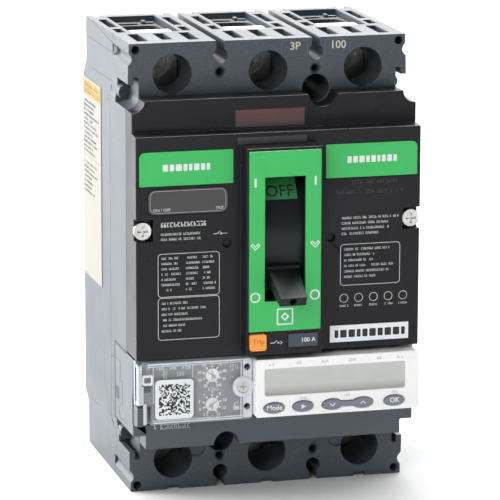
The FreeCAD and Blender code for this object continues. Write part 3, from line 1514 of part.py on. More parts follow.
def check(subparts):
    for feature in document.Objects:
        if "Invalid" in feature.State or "Error" in feature.State:
            raise RuntimeError(f"{feature.Name} failed: {feature.State}")
    for part in subparts:
        if part.Shape.isNull() or not part.Shape.isValid() or not part.Shape.Solids:
            raise RuntimeError(f"{part.Label} has no valid solid")


def main():
    subparts = build()
    document.recompute()
    check(subparts)
    os.makedirs("parts", exist_ok=True)
    for part in subparts:
        part.Shape.exportStep(f"parts/{part.Label}.step")
        print(f"{part.Label:24s} solids {len(part.Shape.Solids):3d}  volume {part.Shape.Volume:10.1f}")


main()
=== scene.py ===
"""Looks of the three-pole molded case breaker: materials, print, small parts, light and camera.

Positions are written in millimetres as (x, depth, z): x to the right seen from the front, depth
forwards from the mounting face and z up. They become metres in the shared frame in at().
"""
import json
import math
import random

import bmesh
import bpy
from mathutils import Matrix, Vector


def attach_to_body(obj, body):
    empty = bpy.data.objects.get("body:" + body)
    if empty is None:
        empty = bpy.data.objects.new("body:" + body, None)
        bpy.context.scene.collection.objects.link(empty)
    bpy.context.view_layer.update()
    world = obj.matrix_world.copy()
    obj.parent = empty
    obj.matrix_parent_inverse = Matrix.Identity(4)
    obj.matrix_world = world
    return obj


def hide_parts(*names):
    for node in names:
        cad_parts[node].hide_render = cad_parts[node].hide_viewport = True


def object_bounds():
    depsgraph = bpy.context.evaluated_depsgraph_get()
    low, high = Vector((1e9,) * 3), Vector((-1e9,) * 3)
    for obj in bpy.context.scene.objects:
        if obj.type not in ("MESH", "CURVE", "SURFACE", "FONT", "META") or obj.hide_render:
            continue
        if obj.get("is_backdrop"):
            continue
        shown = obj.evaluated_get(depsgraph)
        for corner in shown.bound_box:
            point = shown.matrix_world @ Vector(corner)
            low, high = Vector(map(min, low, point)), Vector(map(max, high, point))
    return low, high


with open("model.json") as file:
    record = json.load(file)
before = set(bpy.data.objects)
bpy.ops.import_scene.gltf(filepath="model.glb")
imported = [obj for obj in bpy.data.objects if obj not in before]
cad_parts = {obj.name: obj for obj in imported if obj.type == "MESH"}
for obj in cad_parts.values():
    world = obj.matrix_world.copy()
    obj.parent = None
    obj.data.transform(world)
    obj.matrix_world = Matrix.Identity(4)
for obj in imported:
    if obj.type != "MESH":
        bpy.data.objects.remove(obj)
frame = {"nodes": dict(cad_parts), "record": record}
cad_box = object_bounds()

MM = 0.001
NODES = frame["nodes"]
SLOT_COLOURS = {entry["slot"]: entry["base_color"][:3] for entry in frame["record"]["materials"]}

# Depths of the front faces that carry print, painted shade or painted reflections
NOTCH_FLOOR = 54.0
NOTCH_STUD_FACE = 58.5
BLOCK_FACE = 70.4
APRON_FACE = 80.0
PANEL_FACE = 83.5
STRIP_FACE = 80.0
COVER_FACE = 86.0
PLATE_FACE = 86.15
CODE_FACE = 86.15
DISPLAY_FACE = 90.0
KEY_FACE = 90.5
BOSS_FACE = 93.0
RATING_FACE = 93.15
BEZEL_FACE = 94.0
TRIP_FACE = 94.6
SIDE_FACE = 52.25

HALF_WIDTH = 52.0
END_HALF_WIDTH = 50.8
FLARE_START = 65.5
FLARE_END = 60.0
POLES = (-35.0, 0.0, 35.0)
HANDLE_PIVOT = (58.0, 14.0)
SHIELD_RADIUS = 33.0
INK_HEIGHT = 0.05

# Heights in metres over which two colours fade: the display's darker lower edge and the painted red
# reflection on the strip
SCREEN_FADE = (-0.0438, -0.0405)
RED_REFLECTION_FADE = (0.0515, 0.0575)

# Places of features that the print and the small parts follow; boxes are low u, low v, high u, high v
# Painted sheen: a grey reflection painted on the cover above the handle
SHEEN_REFLECTION_PATCH = (-15.2, 46.9, 9.9, 49.3)
# Painted reflection: a dull red patch on the black strip, redder towards its top
RED_REFLECTION_PATCH = (-14.5, 51.9, 10.7, 58.0)
BLOCK_FIGURES = (("3P", 9.6), ("100", 25.5))
PAD_HALF, PAD_LOW, PAD_HIGH = 4.7, 74.7, 80.6
SWITCH_SYMBOL = (((-5.0, -23.7), (-3.6, -23.7), (-2.6, -22.8)), ((-2.4, -24.0), (-1.8, -23.4)),
                 ((-1.8, -24.0), (-2.4, -23.4)), ((-1.3, -23.2), (-0.8, -23.7), (-1.3, -24.2)))
CONTACT_SYMBOL = (((-24.0, 15.4), (-22.6, 15.4), (-21.6, 16.4)), ((-21.2, 15.4), (-19.0, 15.4)),
                  ((-21.6, 15.0), (-21.0, 15.8)), ((-21.0, 15.0), (-21.6, 15.8)))
BAND_MIDDLE = 17.7
BAND_LEFT, BAND_RIGHT = -8.6, 5.9
DIAL_X = -23.9
DIAL_FACE = 84.1
DIAL_SCALES = ((-36.4, (20, 30, 40, 50, 60, 70, 80, 90, 100)), (-47.1, (1.5, 2, 3, 4, 6, 8, 10, 12, 15)))
FIRST_TICK = 240.0
TICK_STEP = 37.5
SEAL_HOLE_X = -11.6
SEAL_HOLES = (-33.6, -48.1)
FLAP_BOSS = (-13.1, -40.7)
NOTCH_STUD_X, NOTCH_STUD_Z, NOTCH_STUD_RADIUS = 49.2, 62.4, 2.5
GUIDE_HEIGHTS = (77.2, 79.2)
GUIDE_OUTLINE = (-8.8, 4.3, 8.8, 33.2, 1.0)
GUIDE_SLOT = (-7.2, 7.6, 1.6, 12.2, 0.6)
GUIDE_MOUTH = (-7.4, 13.6, 7.4, 28.0, 3.5)
# GUIDE_SHADE is the black sheet painted as shade under each guide's slot
GUIDE_SHADE = (-7.4, 7.4, 1.8, 12.4, 0.4)
GUIDE_CLIPS = (((3.0, 9.4, 7.6, 11.0, 0.5), 79.9), ((3.0, 7.6, 4.4, 11.0, 0.5), 80.4))
CHEVRON = ((-1.6, 0.55), (0.0, -1.05), (1.6, 0.55), (1.05, 1.1), (0.0, 0.05), (-1.05, 1.1))
CODE_CELL = 0.47
CODE_CORNER = (-43.96, -49.5)
CODE_ROWS = 24

# Lights and camera, in metres, degrees and watts
FRONT_GLOW = 0.2
BACK_GLOW = 2.6
LIGHTS = (
    ("front_left", (-1.1, -1.5, 0.9), (0.0, -0.05, 0.0), 0.9, 12.6, False),
    ("left_behind", (-1.6, 0.9, 0.1), (0.0, -0.04, 0.0), 1.4, 90.0, False),
    ("overhead", (0.15, 0.35, 1.25), (0.0, -0.06, 0.0), 0.9, 72.0, True),
)
CAMERA_TARGET = (0.00158, -0.0400, -0.0015)
CAMERA_AZIMUTH, CAMERA_ELEVATION, CAMERA_ROLL = -14.98, 12.27, 0.17
CAMERA_DISTANCE = 1.2370
CAMERA_LENS, CAMERA_SENSOR = 242.3, 36.0


def at(x, depth, z):
    return Vector((x * MM, -depth * MM, z * MM))


# Materials


class Shader:
    """Builds one node material around a Principled shader."""

    def __init__(self, name, colour, roughness=0.5, **sockets):
        self.material = bpy.data.materials.new(name)
        self.material.use_nodes = True
        self.tree = self.material.node_tree
        self.surface = self.tree.nodes["Principled BSDF"]
        self.colour = tuple(colour) + (1.0,)
        self.surface.inputs["Base Color"].default_value = self.colour
        self.surface.inputs["Roughness"].default_value = roughness
        for socket, amount in sockets.items():
            self.surface.inputs[socket.replace("_", " ")].default_value = amount
        self.place = self.node("ShaderNodeTexCoord").outputs["Object"]

    def node(self, kind, inputs=None, **properties):
        node = self.tree.nodes.new(kind)
        for name, amount in properties.items():
            setattr(node, name, amount)
        for socket, source in (inputs or {}).items():
            if isinstance(source, bpy.types.NodeSocket):
                self.tree.links.new(source, node.inputs[socket])
            else:
                node.inputs[socket].default_value = source
        return node

    def noise(self, size, detail=2.0, stretch=(1.0, 1.0, 1.0)):
        """Noise with features of about the given size in millimetres."""
        mapped = self.node("ShaderNodeMapping", {"Vector": self.place, "Scale": stretch})
        return self.node("ShaderNodeTexNoise", {
            "Vector": mapped.outputs["Vector"], "Scale": 1.0 / (size * MM), "Detail": detail}).outputs["Fac"]

    def ranged(self, source, low, high, new_low, new_high):
        return self.node("ShaderNodeMapRange", {
            "Value": source, "From Min": low, "From Max": high, "To Min": new_low, "To Max": new_high,
        }).outputs["Result"]

    def mixed(self, factor, first, second):
        mix = self.node("ShaderNodeMix", data_type="RGBA")
        for socket, source in ((mix.inputs[0], factor), (mix.inputs[6], first), (mix.inputs[7], second)):
            if isinstance(source, bpy.types.NodeSocket):
                self.tree.links.new(source, socket)
            else:
                socket.default_value = source
        return mix.outputs[2]

    def scaled(self, factor):
        return tuple(min(1.0, channel * factor) for channel in self.colour[:3]) + (1.0,)

    def set(self, socket, source):
        self.tree.links.new(source, self.surface.inputs[socket])

    def bump(self, height, distance, strength=1.0):
        """Raises the surface by up to the distance in millimetres."""
        bump = self.node("ShaderNodeBump", {
            "Height": height, "Distance": distance * MM, "Strength": strength})
        self.set("Normal", bump.outputs["Normal"])


def plastic(name, colour, rough=0.45, tone=0.08, grain=0.5, relief=0.01, speck=0.0, **sockets):
    """Molded plastic: a slow drift in tone and gloss, fine grain, and mineral specks if wanted."""
    shader = Shader(name, colour, rough, **sockets)
    drift = shader.noise(22.0, 4.0)
    fine = shader.noise(grain, 3.0)
    shade = shader.mixed(shader.ranged(drift, 0.3, 0.7, 0.0, 1.0), shader.scaled(1.0 - tone),
                         shader.scaled(1.0 + tone))
    if speck:
        flecks = shader.ranged(shader.noise(grain * 0.8, 1.0), 0.62, 0.72, 0.0, speck)
        shade = shader.mixed(flecks, shade, shader.scaled(3.5))
    grains = shader.ranged(fine, 0.35, 0.65, 0.0, 0.5)
    shader.set("Base Color", shader.mixed(grains, shade, shader.scaled(1.0)))
    shader.set("Roughness", shader.ranged(drift, 0.3, 0.7, rough - 0.05, rough + 0.05))
    shader.bump(fine, relief)
    return shader.material


def metal(name, colour, rough=0.3, grain=(1.0, 1.0, 0.06), relief=0.008):
    """Worked metal: fine lines along one direction, stains and uneven gloss."""
    shader = Shader(name, colour, rough, Metallic=1.0)
    lines = shader.noise(0.35, 3.0, grain)
    stain = shader.noise(6.0, 4.0)
    shader.set("Base Color", shader.mixed(shader.ranged(stain, 0.35, 0.65, 0.0, 1.0), shader.scaled(0.78),
                                          shader.scaled(1.08)))
    shader.set("Roughness", shader.ranged(lines, 0.3, 0.7, rough - 0.1, rough + 0.12))
    shader.bump(lines, relief)
    return shader.material


def printed(name, colour, rough=0.5, wear=0.12, **sockets):
    """Ink: slightly uneven in tone, with a broken edge to its gloss."""
    shader = Shader(name, colour, rough, **sockets)
    patchy = shader.noise(1.2, 4.0)
    shader.set("Base Color", shader.mixed(shader.ranged(patchy, 0.35, 0.65, 0.0, 1.0),
                                          shader.scaled(1.0 - wear), shader.scaled(1.0)))
    shader.set("Roughness", shader.ranged(patchy, 0.3, 0.7, rough - 0.08, rough + 0.08))
    shader.bump(patchy, 0.004)
    return shader.material


def fading_ink(name, lower, upper, low_z, high_z):
    """Painted colour that goes from one colour to another over a height in metres; used for the painted red
    reflection on the strip.
    """
    shader = Shader(name, upper, 0.35)
    height = shader.node("ShaderNodeSeparateXYZ", {"Vector": shader.place}).outputs["Z"]
    patchy = shader.noise(1.2, 4.0)
    rise = shader.ranged(height, low_z, high_z, 0.0, 1.0)
    blend = shader.mixed(rise, tuple(lower) + (1.0,), shader.scaled(1.0))
    shader.set("Base Color", shader.mixed(shader.ranged(patchy, 0.35, 0.65, 0.0, 0.1), blend,
                                          shader.scaled(0.5)))
    shader.set("Roughness", shader.ranged(patchy, 0.3, 0.7, 0.28, 0.42))
    shader.bump(patchy, 0.004)
    return shader.material


def lens(name, colour, opacity, rough=0.06):
    """Clear plastic: mostly see-through, with its gloss kept and faint scuffs, and more opaque and pale
    towards grazing angles as a painted reflection.
    """
    shader = Shader(name, colour, rough)
    scuff = shader.noise(3.0, 5.0)
    shader.set("Base Color", shader.mixed(scuff, shader.scaled(0.92), shader.scaled(1.0)))
    shader.set("Roughness", shader.ranged(scuff, 0.3, 0.7, rough, rough + 0.08))
    shader.bump(scuff, 0.004)
    # Painted reflection: the pale plastic grows more opaque towards grazing angles
    grazing_sheen = shader.node("ShaderNodeLayerWeight", {"Blend": 0.35}).outputs["Facing"]
    shader.set("Alpha", shader.ranged(grazing_sheen, 0.0, 1.0, opacity, min(1.0, opacity + 0.55)))
    return shader.material


def screen_glass(name, colour):
    """The display window: a pale panel that darkens towards its lower edge."""
    shader = Shader(name, colour, 0.12)
    height = shader.node("ShaderNodeSeparateXYZ", {"Vector": shader.place}).outputs["Z"]
    lower = shader.ranged(height, *SCREEN_FADE, 1.0, 0.0)
    cloud = shader.noise(9.0, 2.0)
    base = shader.mixed(cloud, shader.scaled(0.94), shader.scaled(1.05))
    shader.set("Base Color", shader.mixed(lower, base, shader.scaled(0.62)))
    shader.set("Roughness", shader.ranged(cloud, 0.3, 0.7, 0.1, 0.18))
    shader.bump(cloud, 0.004)
    return shader.material


def adjusted(slot, share):
    """The record's colour made up for the light on it and for the sheen that its gloss adds."""
    return [min(1.0, channel * share) for channel in SLOT_COLOURS[slot]]


def tinted(slot, shares):
    return [channel * share for channel, share in zip(SLOT_COLOURS[slot], shares)]


def slot_materials():
    """One material for each slot of the record."""
    colour = SLOT_COLOURS
    return {
        "terminal_molding": plastic("terminal_molding_look", adjusted("terminal_molding", 0.76), 0.4, 0.1,
                                    0.45, 0.02, 0.45),
        "cover_molding": plastic("cover_molding_look", adjusted("cover_molding", 0.7), 0.3, 0.12, 0.5, 0.008,
                                 0.06, Specular_IOR_Level=0.18),
        "green_plastic": plastic("green_look", tinted("green_plastic", (0.66, 0.86, 0.76)), 0.42, 0.05, 0.4,
                                 0.006),
        "orange_plastic": plastic("orange_look", adjusted("orange_plastic", 1.2), 0.42, 0.06, 0.4, 0.006),
        "window_smoke": plastic("window_look", colour["window_smoke"], 0.1, 0.1, 3.0, 0.003, Coat_Weight=0.5),
        "white_print": plastic("white_look", colour["white_print"], 0.5, 0.03, 0.6, 0.004),
        "slate_plate": plastic("slate_look", colour["slate_plate"], 0.4, 0.08, 0.5, 0.006),
        "label_paper": plastic("label_look", adjusted("label_paper", 0.35), 0.85, 0.03, 0.9, 0.004,
                               Specular_IOR_Level=0.1),
        "unit_grey": plastic("unit_grey_look", colour["unit_grey"], 0.45, 0.05, 0.5, 0.008),
        "unit_dark": plastic("unit_dark_look", adjusted("unit_dark", 0.76), 0.42, 0.08, 0.5, 0.015, 0.12),
        "display_white": plastic("display_look", adjusted("display_white", 1.2), 0.4, 0.02, 0.6, 0.004),
        "lcd": screen_glass("lcd_look", colour["lcd"]),
        "key_grey": plastic("key_look", adjusted("key_grey", 0.95), 0.5, 0.05, 0.4, 0.006),
        "dial_white": plastic("dial_look", adjusted("dial_white", 1.45), 0.45, 0.03, 0.4, 0.005),
        "clear_plastic": lens("clear_look", (0.93, 0.95, 0.96), 0.05),
        "handle_black": plastic("handle_look", adjusted("handle_black", 0.42), 0.34, 0.12, 0.35, 0.008,
                                0.08, Specular_IOR_Level=0.25),
        "zinc_steel": metal("zinc_look", colour["zinc_steel"], 0.28),
        "dark_steel": metal("steel_look", colour["dark_steel"], 0.38),
        "aluminium": metal("aluminium_look", adjusted("aluminium", 0.7), 0.42),
        "copper": metal("copper_look", colour["copper"], 0.3),
        "rotor_resin": plastic("rotor_look", colour["rotor_resin"], 0.5, 0.15, 0.5, 0.02, 0.2),
        "cartridge_resin": plastic("cartridge_look", colour["cartridge_resin"], 0.55, 0.08, 0.6, 0.02, 0.1),
        "board_green": plastic("board_look", colour["board_green"], 0.3, 0.2, 0.8, 0.01),
        "spring_steel": metal("spring_look", colour["spring_steel"], 0.25),
    }


LOOKS = slot_materials()
INKS = {
    "white": printed("white_ink", (0.82, 0.86, 0.84), 0.5),
    "faint": printed("faint_ink", (0.52, 0.53, 0.56), 0.5),
    "black": printed("black_ink", (0.012, 0.012, 0.014), 0.45),
    "trip": printed("trip_ink", (0.72, 0.17, 0.03), 0.5),
    "bright": printed("bright_ink", (0.92, 0.92, 0.94), 0.5, 0.06),
    "yellow": printed("yellow_ink", (0.34, 0.27, 0.125), 0.85, Specular_IOR_Level=0.1),
    "amber": printed("amber_ink", (0.32, 0.18, 0.08), 0.85, Specular_IOR_Level=0.1),
    "cream": printed("cream_ink", (0.62, 0.58, 0.48), 0.5),
    "dial": printed("dial_ink", (0.42, 0.43, 0.46), 0.5),
    # Painted sheen on the cover above the handle, not ink
    "satin": printed("painted_sheen_look", (0.042, 0.047, 0.058), 0.35, 0.05),
    # Painted red reflection on the strip, not ink
    "maroon": fading_ink("red_reflection_look", (0.05, 0.04, 0.046), (0.12, 0.028, 0.034), *RED_REFLECTION_FADE),
    "emboss": printed("embossed_print", (0.035, 0.036, 0.04), 0.3),
    "haze": printed("haze_ink", (0.13, 0.15, 0.18), 0.5),
    "shadow": printed("seam_shadow", (0.03, 0.033, 0.036), 0.6),
    "band": printed("band_ink", (0.035, 0.24, 0.08), 0.35),
    "slate": printed("slate_ink", (0.1, 0.11, 0.14), 0.5),
}
# Painted shade: the liners are a darker copy of the terminal molding, for the shade inside the end openings
SHADED_LINER = plastic("liner_painted_shade_look", adjusted("terminal_molding", 0.28), 0.6, 0.1, 0.5, 0.01)
# bright is an opaque pale plastic painted as highlight on the clear flap's edges; dull is the frosted column
# and nylon the screw
FROSTED_AND_HIGHLIGHT = {
    "bright": plastic("flap_edge_painted_highlight", (0.8, 0.82, 0.86), 0.3, 0.04, 0.8, 0.01),
    "dull": plastic("frosted_flap", (0.66, 0.68, 0.73), 0.5, 0.04, 0.6, 0.01),
    "nylon": plastic("nylon_screw", (0.62, 0.62, 0.59), 0.4, 0.05, 0.5, 0.01),
}

# Joint lines on the side walls, as runs of (depth, z)
WALL_SEAMS = (
    ((11.4, 81.2), (46.7, 77.9)),
    ((2.2, 74.4), (45.7, 74.6)),
    ((11.8, 63.9), (49.2, 64.4)),
    ((45.5, 67.6), (45.5, 65.5)),
    ((53.0, -30.4), (69.5, -30.2)),
    ((44.7, -36.6), (51.0, -35.9), (57.3, -35.4), (59.9, -35.5), (59.8, -42.6), (63.3, -42.3), (63.1, -50.9)),
    ((56.9, -52.9), (59.4, -56.3), (69.8, -56.3)),
    ((6.7, -62.4), (45.9, -59.4)),
)


def slot_of(node):
    """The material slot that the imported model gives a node."""
    return NODES[node].material_slots[0].material.name.split(".")[0]


# Pieces


def attach(piece, body, slot, material=None):
    """Give a new object its finish and let it ride on its body."""
    piece.data.materials.clear()
    piece.data.materials.append(material or LOOKS[slot])
    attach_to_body(piece, body)
    return piece


def new_piece(name, mesh, body, slot, material=None, smooth_angle=30.0):
    data = bpy.data.meshes.new(name)
    mesh.to_mesh(data)
    mesh.free()
    data.set_sharp_from_angle(angle=math.radians(smooth_angle))
    data.shade_smooth()
    piece = bpy.data.objects.new(name, data)
    bpy.context.scene.collection.objects.link(piece)
    return attach(piece, body, slot, material)


def round_edges(piece, width, segments=2, angle=35.0):
    """Bevel the sharp edges, as a mold leaves them."""
    bevel = piece.modifiers.new("rounding", "BEVEL")
    bevel.width = width * MM
    bevel.segments = segments
    bevel.limit_method = "ANGLE"
    bevel.angle_limit = math.radians(angle)
    bevel.use_clamp_overlap = False
    bevel.harden_normals = True
    return piece


def soften(node, body, width, segments=2):
    """Show a CAD node as a copy of itself with rounded edges."""
    source = NODES[node]
    mesh = bmesh.new()
    mesh.from_mesh(source.data)
    bmesh.ops.remove_doubles(mesh, verts=mesh.verts, dist=0.002 * MM)
    bmesh.ops.dissolve_limit(mesh, angle_limit=math.radians(1.0), verts=mesh.verts, edges=mesh.edges)
    slot = slot_of(node)
    piece = new_piece(f"{node}_shell", mesh, body, slot)
    round_edges(piece, width, segments)
    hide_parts(node)
    return piece


SOFTENED = (
    ("base_case", "case", 0.35),
    ("mid_case", "case", 0.35),
    ("accessory_cover", "case", 0.4),
    ("handle_bezel", "case", 0.2),
    ("trip_unit_housing", "case", 0.4),
    ("trip_unit_panel", "case", 0.2),
    ("display_frame", "case", 0.35),
    ("left_label_plate", "case", 0.06),
    ("right_label_plate", "case", 0.06),
    ("indicator_window", "case", 0.1),
    ("marking_plate", "case", 0.05),
    ("rating_plate", "case", 0.06),
    ("handle", "toggle", 0.4),
    ("trip_button", "trip_push", 0.25),
    ("mode_key", "mode_push", 0.3),
    ("right_key", "right_push", 0.3),
    ("ok_key", "ok_push", 0.3),
    ("down_up_key", "rocker", 0.3),
)


def dress_frame():
    """Give every CAD node the detailed material of its slot, and round the edges that show."""
    for node, body, width in SOFTENED:
        soften(node, body, width)
    for node, thing in NODES.items():
        thing.material_slots[0].material = LOOKS[slot_of(node)]
    NODES["seal_screw"].material_slots[0].material = FROSTED_AND_HIGHLIGHT["nylon"]


# Print


def front_face(depth):
    return lambda u, v, height: at(u, depth + height, v)


def left_face(u, v, height):
    """The left side of the case; u runs forwards."""
    return at(-SIDE_FACE - height, u, v)


def shield_face(u, v, height):
    """The handle's curved shield; v is the length of arc above the level of its pivot."""
    angle = v / SHIELD_RADIUS
    reach = SHIELD_RADIUS + height
    depth, z = HANDLE_PIVOT
    return at(u, depth + reach * math.cos(angle), z + reach * math.sin(angle))


def circle(u, v, radius, count=24):
    return [(u + radius * math.cos(math.tau * k / count), v + radius * math.sin(math.tau * k / count))
            for k in range(count)]


def rounded_box(low_u, low_v, high_u, high_v, radius, steps=4):
    points = []
    corners = ((high_u - radius, high_v - radius, 0), (low_u + radius, high_v - radius, 1),
               (low_u + radius, low_v + radius, 2), (high_u - radius, low_v + radius, 3))
    for u, v, turn in corners:
        for k in range(steps + 1):
            angle = math.pi / 2 * (turn + k / steps)
            points.append((u + radius * math.cos(angle), v + radius * math.sin(angle)))
    return points


def case_wall(side):
    """The left (-1) or right (1) wall of the case, which steps in towards both ends; u runs forwards."""
    def surface(u, v, height):
        flare = min(1.0, max(0.0, (abs(v) - FLARE_END) / (FLARE_START - FLARE_END)))
        return at(side * (HALF_WIDTH - flare * (HALF_WIDTH - END_HALF_WIDTH) + height), u, v)
    return surface


class Print:
    """Flat marks raised slightly off one surface, gathered into one piece."""

    def __init__(self, surface):
        self.surface = surface
        self.mesh = bmesh.new()

    def add(self, points, faces):
        top = [self.mesh.verts.new(self.surface(u, v, INK_HEIGHT)) for u, v in points]
        low = [self.mesh.verts.new(self.surface(u, v, 0.0)) for u, v in points]
        sides = set()
        for face in faces:
            self.mesh.faces.new([top[k] for k in face])
            self.mesh.faces.new([low[k] for k in reversed(face)])
            sides.update(zip(face, list(face[1:]) + [face[0]]))
        for a, b in sides:
            if (b, a) not in sides:
                self.mesh.faces.new([low[a], low[b], top[b], top[a]])

    def fill(self, points):
        self.add(points, [list(range(len(points)))])

    def bar(self, low_u, low_v, high_u, high_v):
        self.fill([(low_u, low_v), (high_u, low_v), (high_u, high_v), (low_u, high_v)])

    def line(self, points, width, closed=False):
        """A stroke of even width along points, with mitred corners."""
        count = len(points)
        left, right = [], []
        for k, (u, v) in enumerate(points):
            before = points[k - 1] if closed or k else points[k]
            after = points[(k + 1) % count] if closed or k + 1 < count else points[k]
            ahead = Vector(after) - Vector((u, v)) if after != (u, v) else Vector((u, v)) - Vector(before)
            behind = Vector((u, v)) - Vector(before) if before != (u, v) else ahead
            along = (ahead.normalized() + behind.normalized()).normalized()
            spread = width / 2 / max(0.4, along.dot(ahead.normalized()))
            side = Vector((-along.y, along.x)) * spread
            left.append((u + side.x, v + side.y))
            right.append((u - side.x, v - side.y))
        runs = range(count if closed else count - 1)
        self.add(left + right, [[k, count + k, count + (k + 1) % count, (k + 1) % count] for k in runs])

    def ring(self, u, v, radius, width):
        self.line(circle(u, v, radius), width, closed=True)

    def frame(self, low_u, low_v, high_u, high_v, radius, width):
        self.line(rounded_box(low_u, low_v, high_u, high_v, radius), width, closed=True)

    def text(self, words, u, v, size, align="CENTER", bold=0.0):
        """Plain lettering, centred in height on v."""
        curve = bpy.data.curves.new("lettering", "FONT")
        curve.body, curve.size, curve.align_x, curve.align_y = words, size, align, "CENTER"
        curve.offset, curve.resolution_u = bold, 3
        holder = bpy.data.objects.new("lettering", curve)
        bpy.context.scene.collection.objects.link(holder)
        flat = bpy.data.meshes.new_from_object(holder.evaluated_get(bpy.context.evaluated_depsgraph_get()))
        faces = [list(face.vertices) for face in flat.polygons]
        points = [(u + vertex.co.x, v + vertex.co.y) for vertex in flat.vertices]
        if faces and flat.polygons[0].normal.z < 0:
            faces = [list(reversed(face)) for face in faces]
        self.add(points, faces)
        bpy.data.objects.remove(holder)
        bpy.data.curves.remove(curve)
        bpy.data.meshes.remove(flat)

    def small_print(self, low_u, high_u, v, height, seed):
        """A row of short strokes that stands in for small lettering and says nothing."""
        pick = random.Random(seed)
        u = low_u
        while u < high_u:
            width = height * pick.uniform(0.35, 0.6)
            if pick.random() < 0.84:
                self.glyph(u, v - height / 2, width, height, pick)
            u += width + height * 0.22

    def paragraph(self, pick, start, shortest, longest, top, step, height, rows, seed):
        """Rows of small print of uneven length."""
        for row in range(rows):
            self.small_print(start, start + pick.uniform(shortest, longest), top - row * step, height,
                             seed + row)

    def glyph(self, u, v, width, height, pick):
        stroke = height * 0.17
        parts = ((u, v, u + stroke, v + height), (u, v + height - stroke, u + width, v + height),
                 (u, v, u + width, v + stroke), (u + width - stroke, v, u + width, v + height * 0.55))
        for low_u, low_v, high_u, high_v in pick.sample(parts, 3):
            self.bar(low_u, low_v, high_u, high_v)

    def piece(self, name, body, slot, ink):
        return new_piece(name, self.mesh, body, slot, INKS[ink])


def bezel_marks():
    """The on and off marks either side of the handle, and the arrows between them."""
    marks = Print(front_face(BEZEL_FACE))
    for side in (-10.9, 10.9):
        marks.bar(side - 0.35, 32.9, side + 0.35, 36.0)
        marks.line([(side + u, 11.55 + v) for u, v in CHEVRON], 0.32, closed=True)
        marks.ring(side, -6.7, 1.6, 0.5)
    marks.frame(-2.75, -16.8, 2.75, -11.3, 0.3, 0.5)
    marks.line(circle(0.0, -14.05, 1.2, 4), 0.5, closed=True)
    marks.piece("bezel_marks", "case", "white_print", "white")


def boss_marks():
    """The switch symbol beside the trip button, and the rating."""
    symbol = Print(front_face(BOSS_FACE))
    for stroke in SWITCH_SYMBOL:
        symbol.line(stroke, 0.22)
    symbol.piece("switch_symbol", "case", "white_print", "white")
    rating = Print(front_face(RATING_FACE))
    rating.text("100 A", 11.5, -23.2, 2.2, "RIGHT", 0.03)
    rating.piece("rating_print", "case", "white_print", "white")
    push = Print(front_face(TRIP_FACE))
    push.text("Trip", -9.8, -22.6, 2.6, bold=0.04)
    push.piece("trip_button_print", "trip_push", "orange_plastic", "trip")


def shield_marks():
    """The coloured band that shows above the handle when it is off, and below it when it is on."""
    half, rows = 4.3, 6
    for name, words, middle in (("off_band", "OFF", BAND_MIDDLE), ("on_band", "ON", -BAND_MIDDLE)):
        band = Print(shield_face)
        for k in range(rows):
            low = middle - half + k * 2 * half / rows
            band.bar(BAND_LEFT, low, BAND_RIGHT, low + 2 * half / rows)
        band.piece(name, "toggle", "green_plastic", "band")
        letters = Print(lambda u, v, height: shield_face(u, v, height + INK_HEIGHT))
        letters.text(words, -0.4, middle - 1.4, 6.0, bold=0.06)
        letters.piece(f"{name}_letters", "toggle", "handle_black", "black")


# Start, shortest and longest row, top, step, height of the letters, rows, seed
COVER_PARAGRAPHS = (
    (-42.8, 3.4, 6.8, 7.4, 1.9, 0.75, 7, 30),
    (-34.0, 2.5, 5.0, 7.4, 1.9, 0.75, 7, 40),
    (-28.0, 2.4, 4.8, 7.4, 1.9, 0.75, 7, 50),
    (-42.8, 8.0, 18.0, -8.8, 2.0, 0.75, 6, 80),
    (24.0, 9.0, 18.0, 7.2, 2.0, 0.75, 6, 90),
    (23.0, 12.0, 21.0, 18.6, 1.9, 0.8, 4, 100),
)


def cover_marks():
    """Outlines and rows of small print on the main cover."""
    marks = Print(front_face(COVER_FACE))
    for low_u, low_v, high_u, high_v in ((-44.1, -6.5, -21.9, 9.0), (-44.1, -22.0, -21.9, -6.9),
                                         (22.6, -5.9, 44.7, 9.0)):
        marks.frame(low_u, low_v, high_u, high_v, 1.2, 0.16)
    marks.small_print(-43.0, -27.0, 19.4, 1.7, 11)
    for number, v in enumerate((16.0, 14.2)):
        marks.small_print(-43.0, -29.0, v, 0.8, 20 + number)
    for stroke in CONTACT_SYMBOL:
        marks.line(stroke, 0.18)
    pick = random.Random(5)
    for paragraph in COVER_PARAGRAPHS:
        marks.paragraph(pick, *paragraph)
    for number, u in enumerate((24.0, 29.5, 35.0, 40.5, 46.0)):
        marks.ring(u, -10.6, 1.5, 0.16)
        marks.small_print(u - 1.6, u + 1.6, -13.4, 0.7, 110 + number)
    marks.piece("cover_marks", "case", "white_print", "white")


def cover_patches():
    """Painted reflections: a grey sheen on the cover above the handle and a dull red one on the strip over
    it; and faint raised rows.
    """
    satin = Print(front_face(COVER_FACE))
    satin.bar(*SHEEN_REFLECTION_PATCH)
    satin.piece("painted_sheen_patch", "case", "cover_molding", "satin")
    red_reflection = Print(front_face(STRIP_FACE))
    red_reflection.bar(*RED_REFLECTION_PATCH)
    red_reflection.piece("painted_red_reflection_patch", "case", "cover_molding", "maroon")
    rows = Print(front_face(COVER_FACE))
    rows.small_print(26.7, 43.0, 31.5, 1.4, 118)
    rows.small_print(21.1, 45.7, 27.9, 1.4, 119)
    rows.piece("raised_rows", "case", "cover_molding", "emboss")


